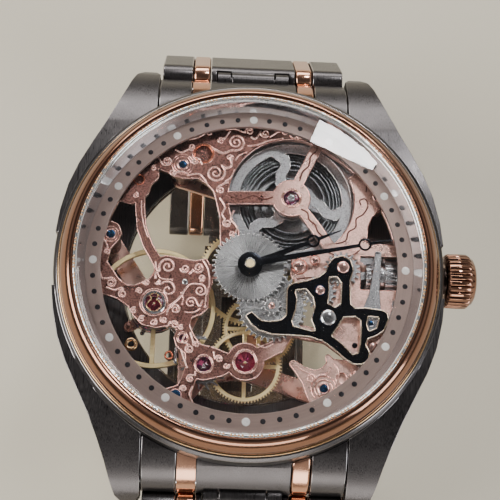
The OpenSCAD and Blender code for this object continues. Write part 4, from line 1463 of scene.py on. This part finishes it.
@dataclass(frozen=True)
class Stud:
    """A stud with a domed head.

    Attributes:
        axis: place of its axis.
        radius: radius of the head.
        low: height that the head stands on.
        material: material number.
    """

    axis: Point
    radius: float
    low: float
    material: int = 0

    def section(self) -> Turned:
        """Draws the stud.

        Returns:
            The turned solid.
        """
        rise = 0.3 * self.radius
        foot = self.low + 0.05
        dome = [
            (self.radius * math.cos(a), foot + rise * math.sin(a))
            for a in map(math.radians, (0, 18, 36, 54, 72, 84))
        ]
        section = [(0, self.low - 0.2), (self.radius, self.low - 0.2), *dome, (0, foot + rise)]
        return Turned(section, self.axis, 32, self.material)


@dataclass(frozen=True)
class Collar:
    """A flat ring with chamfered edges.

    Attributes:
        axis: place of its axis.
        radius: outer radius.
        wide: width of the ring.
        top: height of its face.
        material: material number.
    """

    axis: Point
    radius: float
    wide: float
    top: float
    material: int = 0

    def section(self) -> Turned:
        """Draws the collar.

        Returns:
            The turned solid.
        """
        low, inner, chamfer = self.top - 0.4, self.radius - self.wide, 0.08
        return Turned([
            (inner, low), (self.radius, low), (self.radius, self.top - chamfer),
            (self.radius - chamfer, self.top), (inner + chamfer, self.top), (inner, self.top - chamfer),
        ], self.axis, 40, self.material)


@dataclass
class Movement:
    """Plates, bridges, wheels, springs and small fittings inside the case.

    Attributes:
        relief_height: height of the scrolls' centre line.
        scrolls: the raised scrolls of the engraved plate.
        lines: engraved lines of the spider and the barrel bridge.
    """

    relief_height: float = PLATE_TOP + 0.02
    scrolls: tuple[Scroll | Strand, ...] = ()
    lines: tuple[Strand, ...] = ()

    def build(self) -> None:
        """Makes every piece of the movement."""
        self._plates()
        self._wheels()
        self._keyless()
        self._springs()
        self._jewels()
        self._relief()
        self._outlines()
        self._fittings()

    def _plates(self) -> None:
        """Dresses the main plate, the bridges and their screws."""
        for part in (
            # the main plate's finish carries painted light, lighter towards the crown's side
            Dressed("main_plate", PLATE, ROSE_EDGE, 0.09),
            Dressed("barrel_bridge", BRIDGE_ROSE, ROSE_EDGE, 0.08),
            Dressed("train_bridge", BRIDGE_ROSE, ROSE_EDGE, 0.08),
            Dressed("balance_cock", BRIDGE_ROSE, ROSE_EDGE, 0.08),
            Dressed("pallet_cock", BRIDGE_ROSE, ROSE_EDGE, 0.03),
            Dressed("movement_screws", BLUED, BLUED, 0.04),
            Dressed("setting_cover", BLACK_POLISH, PALE_EDGE, 0.09),
        ):
            part.build()

    def _wheels(self) -> None:
        """Dresses the wheels of the train and of the motion work."""
        for node, axis in (
            ("centre_wheel", CENTRE), ("third_wheel", THIRD), ("fourth_wheel", FOURTH),
            ("balance_wheel", BALANCE),
        ):
            Dressed(node, turned_brass(f"brass_{node}", axis), BRASS_EDGE, 0.025, 1).build()
        for node, axis in (("hour_wheel", CENTRE), ("minute_wheel", MINUTE)):
            Dressed(node, sunburst(f"sunburst_{node}", axis), SILVER_EDGE, 0.04).build()
        for node in ("barrel_cover", "setting_wheel", "intermediate_wheel", "barrel_drum", "escape_wheel"):
            Dressed(node, GUN_GREY, SILVER_EDGE, 0.025, 1).build()

    def _keyless(self) -> None:
        """Dresses the winding and setting work."""
        for node, width in (
            ("winding_stem", 0.03), ("winding_pinion", 0.02), ("sliding_pinion", 0.02),
            ("crown_wheel", 0.02), ("ratchet_wheel", 0.02), ("click", 0.04), ("setting_lever", 0.05),
            ("yoke", 0.08), ("barrel_arbor", 0.03), ("pallet_fork", 0.02), ("regulator", 0.03),
        ):
            Dressed(node, KEYLESS_STEEL, MIRROR_STEEL, width).build()

    def _springs(self) -> None:
        """Gives the two spiral springs their finishes."""
        for node, finish in (("mainspring", DARK_SPRING), ("hairspring", SPRING_BLUE)):
            mesh = finish_mesh(from_node(node), node)
            settle(mesh, f"{node}_finished", BODY_OF[node], (finish,), (node,))

    def _jewels(self) -> None:
        """Makes the cupped jewels and the shock settings."""
        jewels = (
            Jewel(BARREL, 0.95, 0.47, 6.05, 6.55), Jewel(THIRD, 0.7, 0.16, 6.1, 6.55),
            Jewel(FOURTH, 1.15, 0.16, 6.1, 6.55), Jewel(ESCAPE, 0.87, 0.16, 6.1, 6.55),
            Jewel(PALLET, 0.45, 0.14, 6.1, 6.55), Jewel(CENTRE, 0.9, 0.2, 1.65, 2.15),
            Jewel(THIRD, 0.7, 0.16, 1.65, 2.15), Jewel(FOURTH, 0.8, 0.16, 1.65, 2.15),
            Jewel(ESCAPE, 0.7, 0.16, 1.65, 2.15), Jewel(PALLET, 0.3, 0.14, 4.62, 4.83),
        )
        mesh = turned_mesh("jewels", [jewel.section() for jewel in jewels], 50.0)
        settle(mesh, "train_jewels_cut", "case", (RUBY,), ("train_jewels",), weighted=False)
        setting = [(0.95, 6.0), (1.3, 6.0), (1.3, 6.68), (1.22, 6.76), (1.02, 6.76), (0.95, 6.68)]
        stone = [(0.14, 6.0), (0.95, 6.0), (0.95, 6.3), (0.8, 6.34), (0.62, 6.42), (0.14, 6.3)]
        lower = [(0.14, 1.42), (0.9, 1.42), (0.9, 1.95), (0.14, 1.95)]
        mesh = turned_mesh(
            "shock", [Turned(setting, BALANCE), Turned(stone, BALANCE, material=1), Turned(lower, BALANCE)],
            40.0,
        )
        settle(
            mesh, "shock_settings_finished", "case", (MIRROR_STEEL, RUBY),
            ("shock_settings",), weighted=False,
        )

    def _relief(self) -> None:
        """Grows the raised scrolls, the engraved lines and the shock spring."""
        for name, strands, height, finish, eye in (
            ("plate_scrolls", self.scrolls, self.relief_height, ROSE_RELIEF, 1.8),
            ("plate_lines", self.lines, PLATE_TOP + 0.01, ENGRAVED_LINE, 1.0),
            ("shock_spring", lyre(BALANCE), 6.8, TRIM_GOLD, 1.0),
        ):
            mesh = GROWER.grow(name, GROWER.strands, strand_lines(strands, height), {
                "Facets": 8, "Eye Size": eye, "Material": finish.build(),
            })
            settle(mesh, name, "case", (finish,), weighted=False)
        rims = [
            (PILLARS[0], 0.95), (PILLARS[0], 1.2), (PILLARS[5], 0.85), (PILLARS[3], 0.95),
            (PILLARS[3], 1.35), (FOURTH, 1.3), (ESCAPE, 1.0), (BARREL, 1.1), (PALLET, 0.6), (THIRD, 0.85),
            (BALANCE, 1.5),
        ]
        mesh = GROWER.grow("plate_rims", GROWER.rims, sized_points(rims, PLATE_TOP), {
            "Thickness": 0.09 * MM, "Steps": 48, "Material": ROSE_EDGE.build(),
        })
        settle(mesh, "plate_rims", "case", (ROSE_EDGE,), weighted=False)

    def _outlines(self) -> None:
        """Lays a polished round edge along the outlines of the top faces."""
        for node, radius, finish in (
            ("main_plate", 0.075, ROSE_EDGE), ("setting_cover", 0.07, PALE_EDGE),
            ("barrel_cover", 0.04, SILVER_EDGE), ("yoke", 0.06, MIRROR_STEEL),
        ):
            mesh = GROWER.grow(node, GROWER.strands, outline_lines(node, radius), {
                "Facets": 6, "Eye Size": 1.0, "Material": finish.build(),
            })
            settle(mesh, f"{node}_edge", BODY_OF[node], (finish,), weighted=False)

    def _fittings(self) -> None:
        """Makes the small turned studs, pins and rings that stand on the plate."""
        bright, dark = 1, 2
        studs = (
            Stud(INTERMEDIATE, 0.68, 7.78), Stud(SETTING, 0.5, 7.78), Stud((8.6, -5.5), 0.88, 7.78, bright),
            Stud(PILLARS[2], 0.66, 6.62), Stud((-7.0, -1.8), 0.33, 6.62, bright),
            Stud((5.5, 0.4), 0.62, 6.6), Stud((7.2, 1.2), 0.4, 6.6), Stud(MINUTE, 0.34, 7.46),
            Stud((11.6, -8.2), 0.3, 6.6, dark),
        )
        mesh = turned_mesh("studs", [stud.section() for stud in studs], 50.0)
        finishes = (ROSE_EDGE, MIRROR_STEEL, BLACK_POLISH)
        settle(mesh, "movement_studs", "case", finishes, weighted=False)
        gold, rose = 1, 2
        collars = (
            Collar((-5.5, 13.3), 1.2, 0.3, 6.72), Collar((-12.6, 9.9), 0.7, 0.2, 6.66),
            Collar((-8.4, -9.8), 0.5, 0.2, 6.0), Collar((-12.5, -8.7), 0.7, 0.35, 6.0, gold),
            Collar((5.5, 0.4), 0.9, 0.16, 6.72, rose), Collar((7.2, 1.2), 0.62, 0.14, 6.7, rose),
            Collar(PILLARS[0], 0.66, 0.24, 6.68, rose), Collar(PILLARS[5], 0.66, 0.22, 6.68, rose),
            Collar(PILLARS[3], 0.66, 0.24, 6.68, rose),
        )
        mesh = turned_mesh("collars", [collar.section() for collar in collars], 50.0)
        finishes = (COPPER, TRIM_GOLD, ROSE_EDGE)
        settle(mesh, "movement_collars", "case", finishes, weighted=False)


def lyre(axis: Point) -> tuple[Strand, ...]:
    """Draws a lyre-shaped shock spring.

    Args:
        axis: its middle, in mm.

    Returns:
        Its two strands.
    """
    x, y = axis
    half = ((0.12, 0.98), (0.42, 0.72), (0.3, 0.3), (0.62, 0.0), (0.78, -0.5), (0.3, -0.95))
    return tuple(waves([(x + side * a, y + b) for a, b in half], 0.06) for side in (-1.0, 1.0))


SCROLLS: tuple[Scroll | Strand, ...] = (
    # between 10 and 12 o'clock
    Scroll((-1.9, 14.8), 1.05, 250, 1.9, ((-4.4, 13.9), (-3.4, 13.4), (-2.6, 13.7))),
    Scroll((-4.1, 11.0), 1.15, 60, -1.9, ((-2.5, 12.9), (-2.3, 12.0), (-2.9, 11.6))),
    Scroll((-2.55, 12.9), 0.4, 300, 1.2),
    Scroll((-0.4, 16.2), 0.5, 200, -1.4, ((-3.2, 16.3), (-2.0, 16.4), (-1.2, 16.1))),
    Scroll((1.4, 16.0), 0.55, 150, 1.4, ((-0.2, 15.5), (0.3, 15.3))),
    Scroll((3.6, 16.3), 0.45, 170, -1.3, ((1.9, 15.6), (2.6, 16.1))),
    Scroll((5.4, 15.9), 0.4, 160, 1.3, ((4.2, 15.9), (4.7, 15.6))),
    Scroll((-9.6, 12.2), 0.5, 300, 1.5, ((-10.8, 12.9), (-10.2, 12.0), (-9.9, 11.7))),
    Scroll((-6.5, 12.3), 0.42, 90, -1.3, ((-5.6, 11.9), (-6.0, 12.6))),
    Scroll((-3.45, 9.0), 0.48, 100, 1.4, ((-2.6, 9.9), (-3.0, 9.8))),
    Scroll((-2.6, 5.1), 0.5, 120, 1.5, ((-3.5, 8.0), (-2.9, 7.0), (-3.2, 6.2))),
    Scroll((-2.0, 3.9), 0.4, 30, -1.3, ((-1.9, 6.6), (-2.2, 5.6), (-1.5, 4.7))),
    Scroll((-8.9, 10.9), 0.4, 0, -1.2, ((-7.1, 10.7), (-7.8, 11.0))),
    Scroll((-6.9, 14.0), 0.42, 220, 1.3, ((-8.7, 13.6), (-8.0, 13.3))),
    Scroll((-3.6, 14.9), 0.42, 30, 1.3, ((-2.6, 16.1), (-3.0, 15.5))),
    Scroll((-5.0, 15.8), 0.4, 190, -1.2, ((-7.2, 14.9), (-6.2, 15.2))),
    Strand(((-7.3, 10.5), (-6.0, 10.8), (-5.3, 10.2), (-5.0, 9.7)), 0.12, 0.08),
    Strand(((-0.6, 14.4), (0.6, 14.6), (2.0, 15.2), (3.4, 15.5)), 0.11, 0.07),
    Strand(((-1.9, 12.6), (-1.5, 13.2), (-0.7, 13.6)), 0.1, 0.07),
    Strand(((-3.0, 10.0), (-2.3, 10.6), (-2.0, 11.4)), 0.1, 0.07),
    Scroll((-11.0, 11.3), 0.35, 60, 1.2),
    # left edge
    Scroll((-12.9, 8.0), 0.35, 90, -1.2),
    Scroll((-15.6, 1.4), 0.38, 90, 1.3, ((-16.2, 2.9), (-15.8, 2.3))),
    Strand(((-12.2, 7.4), (-12.1, 6.0), (-11.8, 4.6), (-11.3, 3.2)), 0.07, 0.07),
    # round the balance
    Scroll((-8.95, -0.1), 0.95, 210, -1.6, ((-10.2, -1.6), (-10.2, -0.9))),
    Scroll((-7.05, -0.3), 0.5, 180, 1.4),
    Scroll((-5.6, -0.15), 0.62, 200, 1.5, ((-6.6, -0.9), (-6.3, -0.6))),
    Scroll((-8.8, -2.7), 0.95, 150, -1.3, ((-10.2, -2.2), (-9.9, -1.9))),
    Scroll((-5.3, -2.7), 0.72, 110, -1.5, ((-8.6, -4.6), (-7.6, -3.7), (-6.7, -2.3), (-6.0, -2.0))),
    Scroll((-6.25, -4.1), 0.62, 20, 1.3, ((-5.0, -3.8), (-5.3, -4.5))),
    Scroll((-7.9, -4.9), 0.55, 160, -1.5, ((-8.8, -5.6), (-8.7, -4.9))),
    Scroll((-15.0, -2.15), 0.55, 100, -1.6, ((-16.3, -1.0), (-16.0, -1.7), (-15.5, -1.7))),
    Scroll((-13.7, -3.35), 0.48, 80, 1.5, ((-15.5, -2.7), (-14.6, -3.0), (-13.9, -2.7))),
    Scroll((-12.4, -5.2), 0.38, 60, 1.2),
    Scroll((-11.5, -6.1), 0.36, 40, 1.2),
    Scroll((-10.2, -6.4), 0.4, 80, -1.4),
    Scroll((-9.1, -6.1), 0.38, 140, 1.3),
    Scroll((-11.9, -3.0), 0.36, 200, -1.2),
    Scroll((-11.2, -1.95), 0.36, 180, 1.2),
    Scroll((-9.9, -2.0), 0.3, 90, -1.2),
    Scroll((-5.2, -1.3), 0.4, 240, 1.3),
    Strand(((-10.3, 0.4), (-10.1, -0.6), (-9.6, -1.5), (-8.4, -1.6)), 0.11, 0.08),
    Strand(((-5.1, 0.7), (-4.5, -0.3), (-4.3, -1.8), (-4.6, -3.2), (-4.7, -4.5)), 0.12, 0.1),
    Strand(((-7.4, -3.0), (-7.1, -3.6), (-7.2, -4.3)), 0.1, 0.07),
    Strand(((-6.9, -5.2), (-6.0, -5.2), (-5.3, -4.8)), 0.1, 0.07),
    Scroll((-7.9, -6.6), 0.42, 170, -1.4, ((-8.8, -6.9), (-8.4, -6.3))),
    Scroll((-7.2, -6.9), 0.3, 60, 1.2),
    # down to the escape and fourth wheels
    Scroll((-6.2, -9.2), 0.5, 100, 1.5, ((-6.7, -7.6), (-7.0, -8.4))),
    Scroll((-5.5, -8.7), 0.36, 200, -1.2, ((-6.2, -7.4), (-5.9, -8.2))),
    Scroll((-3.0, -10.2), 0.42, 180, -1.4, ((-3.6, -9.4), (-3.5, -9.9))),
    Scroll((-2.2, -10.9), 0.34, 30, -1.2),
    Scroll((-6.0, -12.4), 0.42, 60, 1.4, ((-5.5, -11.6), (-5.5, -12.0))),
    Scroll((-6.7, -13.5), 0.36, 200, -1.3),
    Strand(((-5.7, -13.2), (-6.0, -14.0), (-5.6, -15.0), (-5.1, -15.6)), 0.1, 0.08),
    Strand(((-7.1, -9.4), (-6.7, -10.4), (-6.4, -11.2)), 0.1, 0.08),
    # lower right arm
    Scroll((6.9, -12.0), 0.5, 10, 1.2, ((9.0, -10.6), (8.6, -11.4), (7.8, -11.6))),
    Strand(((5.2, -10.6), (6.2, -11.2), (7.3, -11.6)), 0.11, 0.07),
    Strand(((9.4, -10.3), (9.9, -11.0), (9.7, -12.2), (9.2, -13.6)), 0.11, 0.08),
    Scroll((11.4, -11.3), 0.42, 120, -1.3),
    Strand(((2.8, -8.3), (1.9, -8.8), (1.2, -8.5)), 0.1, 0.08),
    # right of the hands
    Scroll((6.0, 1.5), 0.3, 200, 1.2),
    Strand(((8.7, 2.5), (10.2, 2.6), (11.8, 2.4)), 0.09, 0.07),
)

LINES: tuple[Strand, ...] = (
    waves([(8.2, 16.2), (7.4, 15.2), (7.3, 14.2), (6.6, 13.4), (6.4, 12.3), (5.7, 11.5), (5.4, 10.5)]),
    waves([(5.6, 7.1), (6.3, 6.7), (6.5, 5.9), (7.2, 5.3), (7.5, 4.5), (8.2, 3.9)]),
    waves([(-2.6, 8.5), (-1.2, 8.0), (0.2, 8.5), (1.4, 8.1), (2.4, 8.4)]),
    waves([(9.5, 3.2), (10.6, 3.6), (10.9, 4.6), (11.7, 5.2), (11.8, 6.2), (12.6, 6.8), (13.1, 7.8),
           (12.8, 8.6), (12.2, 8.4), (12.3, 7.9)], 0.09),
    waves([(12.9, 9.4), (12.9, 10.4), (12.2, 11.2)], 0.08),
    waves([(5.2, -1.0), (6.6, -0.8), (8.2, -0.6), (8.8, 0.2)], 0.08),
    waves([(8.2, 2.3), (9.6, 1.9), (11.2, 1.9), (12.2, 2.6)], 0.08),
)


# ---------------------------------------------------------------- bracelet


@dataclass
class Bracelet:
    """End links, five-piece rows and the folding clasp.

    Attributes:
        centre_half: half width of the middle piece.
        accent: width of a rose piece.
        gap: gap between pieces.
        rows: rows on each side.
        row_width: width of the first row.
        taper: loss of width from row to row.
        end_width: width of the end links.
        steel_round: width of the rounds of the steel pieces.
        rose_round: width of the rounds of the rose pieces.
    """

    centre_half: float = 5.05
    accent: float = 2.1
    gap: float = 0.09
    rows: int = 5
    row_width: float = 21.6
    taper: float = 0.5
    end_width: float = 21.9
    steel_round: float = 0.14
    rose_round: float = 0.3

    def build(self) -> None:
        """Makes every piece of the bracelet."""
        self._row("end_links", self.end_width)
        for side in (12, 6):
            for k in range(self.rows):
                self._row(f"link_{side}_{k + 1}", self.row_width - self.taper * k)
        Dressed("clasp_cover", CASE_STEEL, CASE_EDGE, 0.18, 3).build()
        Dressed("clasp_blade_long", KEYLESS_STEEL, MIRROR_STEEL, 0.06).build()
        Dressed("clasp_blade_short", KEYLESS_STEEL, MIRROR_STEEL, 0.06).build()

    def _row(self, node: str, width: float) -> None:
        """Cuts a row into its five pieces and rounds them.

        Args:
            node: CAD node of the row.
            width: the row's full width.
        """
        half = self.gap / 2
        inner = self.centre_half
        outer = inner + self.accent
        bands = [(-inner + half, inner - half, 0)]
        for side in (-1, 1):
            bands.append((*sorted((side * (inner + half), side * (outer - half))), 2))
            bands.append((*sorted((side * (outer + half), side * width / 2)), 0))
        whole = bmesh.new()
        for low, high, material in bands:
            part = soften(cut_band(node, low, high), self.rose_round if material else self.steel_round, 3)
            for face in part.faces:
                face.material_index = material or face.material_index
            mesh = bpy.data.meshes.new("band")
            part.to_mesh(mesh)
            part.free()
            whole.from_mesh(mesh)
        mesh = finish_mesh(whole, node)
        finishes = (CASE_STEEL, CASE_EDGE, LINK_ROSE)
        settle(mesh, f"{node}_five_piece", BODY_OF[node], finishes, (node,))


def cut_band(node: str, low: float, high: float) -> bmesh.types.BMesh:
    """Cuts the part of a node between two x values and closes it.

    Args:
        node: name of the CAD node.
        low: lower x, in mm.
        high: higher x, in mm.

    Returns:
        The closed band.
    """
    shell = from_node(node)
    for x, side in ((low, -1.0), (high, 1.0)):
        bmesh.ops.bisect_plane(
            shell, geom=[*shell.verts, *shell.edges, *shell.faces], plane_co=(x * MM, 0, 0),
            plane_no=(side, 0, 0), clear_outer=True, dist=0.0001 * MM,
        )
        open_edges = [e for e in shell.edges if e.is_boundary]
        if open_edges:
            bmesh.ops.triangle_fill(shell, edges=open_edges, use_beauty=True, normal=(side, 0, 0))
    bmesh.ops.dissolve_limit(
        shell, angle_limit=math.radians(FLAT), verts=shell.verts, edges=shell.edges
    )
    bmesh.ops.recalc_face_normals(shell, faces=shell.faces)
    return shell


# ---------------------------------------------------------------- studio


@dataclass(frozen=True)
class Lamp:
    """A soft rectangular lamp.

    Attributes:
        name: its name.
        place: its middle.
        size: its two sides.
        watts: its power.
        tint: colour of its light.
    """

    name: str
    place: Place
    size: Point
    watts: float
    tint: Colour

    def hang(self, aim: Place) -> None:
        """Hangs the lamp and turns it to a point.

        Args:
            aim: the point, in mm.
        """
        data = bpy.data.lights.new(self.name, "AREA")
        data.shape = "RECTANGLE"
        data.size, data.size_y = self.size[0] * MM, self.size[1] * MM
        data.energy = self.watts
        data.color = self.tint
        lamp = bpy.data.objects.new(self.name, data)
        bpy.context.scene.collection.objects.link(lamp)
        lamp.location = Vector(self.place) * MM
        toward = Vector(aim) * MM - lamp.location
        lamp.rotation_euler = toward.to_track_quat("-Z", "Y").to_euler()


@dataclass
class Studio:
    """Floor, lamps, surroundings and camera.

    Attributes:
        floor_z: height of the floor, just under the clasp.
        aim: point that the camera's turn is measured about.
        tilt: camera's turns about x, y and z, in radians.
        shift_mm: place of the aim point before the camera.
        lens: focal length, in mm.
        clip: nearest and farthest distance that the camera sees, in metres.
        floor_side: side of the floor, in metres.
        lamps: the lamps, in the order they are hung.
    """

    floor_z: float = -36.1
    aim: Place = (0.0, 0.0, 8.0)
    tilt: Place = (-0.2908, 0.0468, -0.0250)
    shift_mm: Place = (-0.02, -1.79, -124.7)
    lens: float = 81.8
    clip: Point = (5 * MM, 5.0)
    floor_side: float = 4.0
    lamps: tuple[Lamp, ...] = (
        Lamp("window", (70, 163, 272), (42, 32), 0.25, (1.0, 1.0, 1.0)),
        Lamp("left_bank", (-320, -60, 260), (300, 260), 2.0, (1.0, 0.97, 0.93)),
        Lamp("right_bank", (300, -180, 160), (160, 220), 0.7, (0.95, 0.97, 1.0)),
        Lamp("top_bank", (-60, 420, 240), (420, 160), 1.5, (1.0, 0.98, 0.95)),
        Lamp("low_front", (0, -380, 90), (360, 120), 0.7, (1.0, 0.96, 0.9)),
    )

    def build(self) -> None:
        """Sets up the whole studio."""
        self._camera()
        self._floor()
        for lamp in self.lamps:
            lamp.hang(self.aim)
        self._surroundings()

    def _camera(self) -> None:
        """Places the camera at its fitted angle."""
        turn = (
            Matrix.Rotation(self.tilt[0], 3, "X")
            @ Matrix.Rotation(self.tilt[1], 3, "Y")
            @ Matrix.Rotation(self.tilt[2], 3, "Z")
        ).transposed()
        data = bpy.data.cameras.new("camera")
        data.lens = self.lens
        data.clip_start, data.clip_end = self.clip
        camera = bpy.data.objects.new("camera", data)
        bpy.context.scene.collection.objects.link(camera)
        place = Vector(self.aim) - turn @ Vector(self.shift_mm)
        camera.matrix_world = Matrix.Translation(place * MM) @ turn.to_4x4()
        bpy.context.scene.camera = camera

    def _floor(self) -> None:
        """Lays a plain pale floor."""
        bpy.ops.mesh.primitive_plane_add(size=self.floor_side, location=(0, 0, self.floor_z * MM))
        floor = bpy.context.object
        floor.name = "floor"
        floor.data.materials.append(FLOOR_PAPER.build())

    def _surroundings(self) -> None:
        """Makes a soft world that is bright overhead and dim at the horizon."""
        world = bpy.data.worlds.new("studio")
        bpy.context.scene.world = world
        world.use_nodes = True
        t = Tree(world.node_tree)
        t.tree.nodes.clear()
        coord = t.add("ShaderNodeTexCoord").outputs["Generated"]
        height = t.add("ShaderNodeSeparateXYZ", {0: coord}).outputs[2]
        low = t.spread(height, -0.1, 0.5)
        high = t.spread(height, 0.62, 0.93)
        wall = t.mix(low, (0.04, 0.037, 0.035, 1.0), (0.50, 0.48, 0.46, 1.0))
        colour = t.mix(high, wall, (0.09, 0.085, 0.085, 1.0))
        back = t.add("ShaderNodeBackground", {0: colour, 1: 1.0})
        t.add("ShaderNodeOutputWorld", {0: back.outputs[0]})


def main() -> None:
    """Builds the watch in order, then the studio."""
    logging.basicConfig(level=logging.INFO, format="%(message)s")
    Case().build()
    Dial().build()
    Movement(scrolls=SCROLLS, lines=LINES).build()
    Bracelet().build()
    Studio().build()


if __name__ == "__main__":
    main()
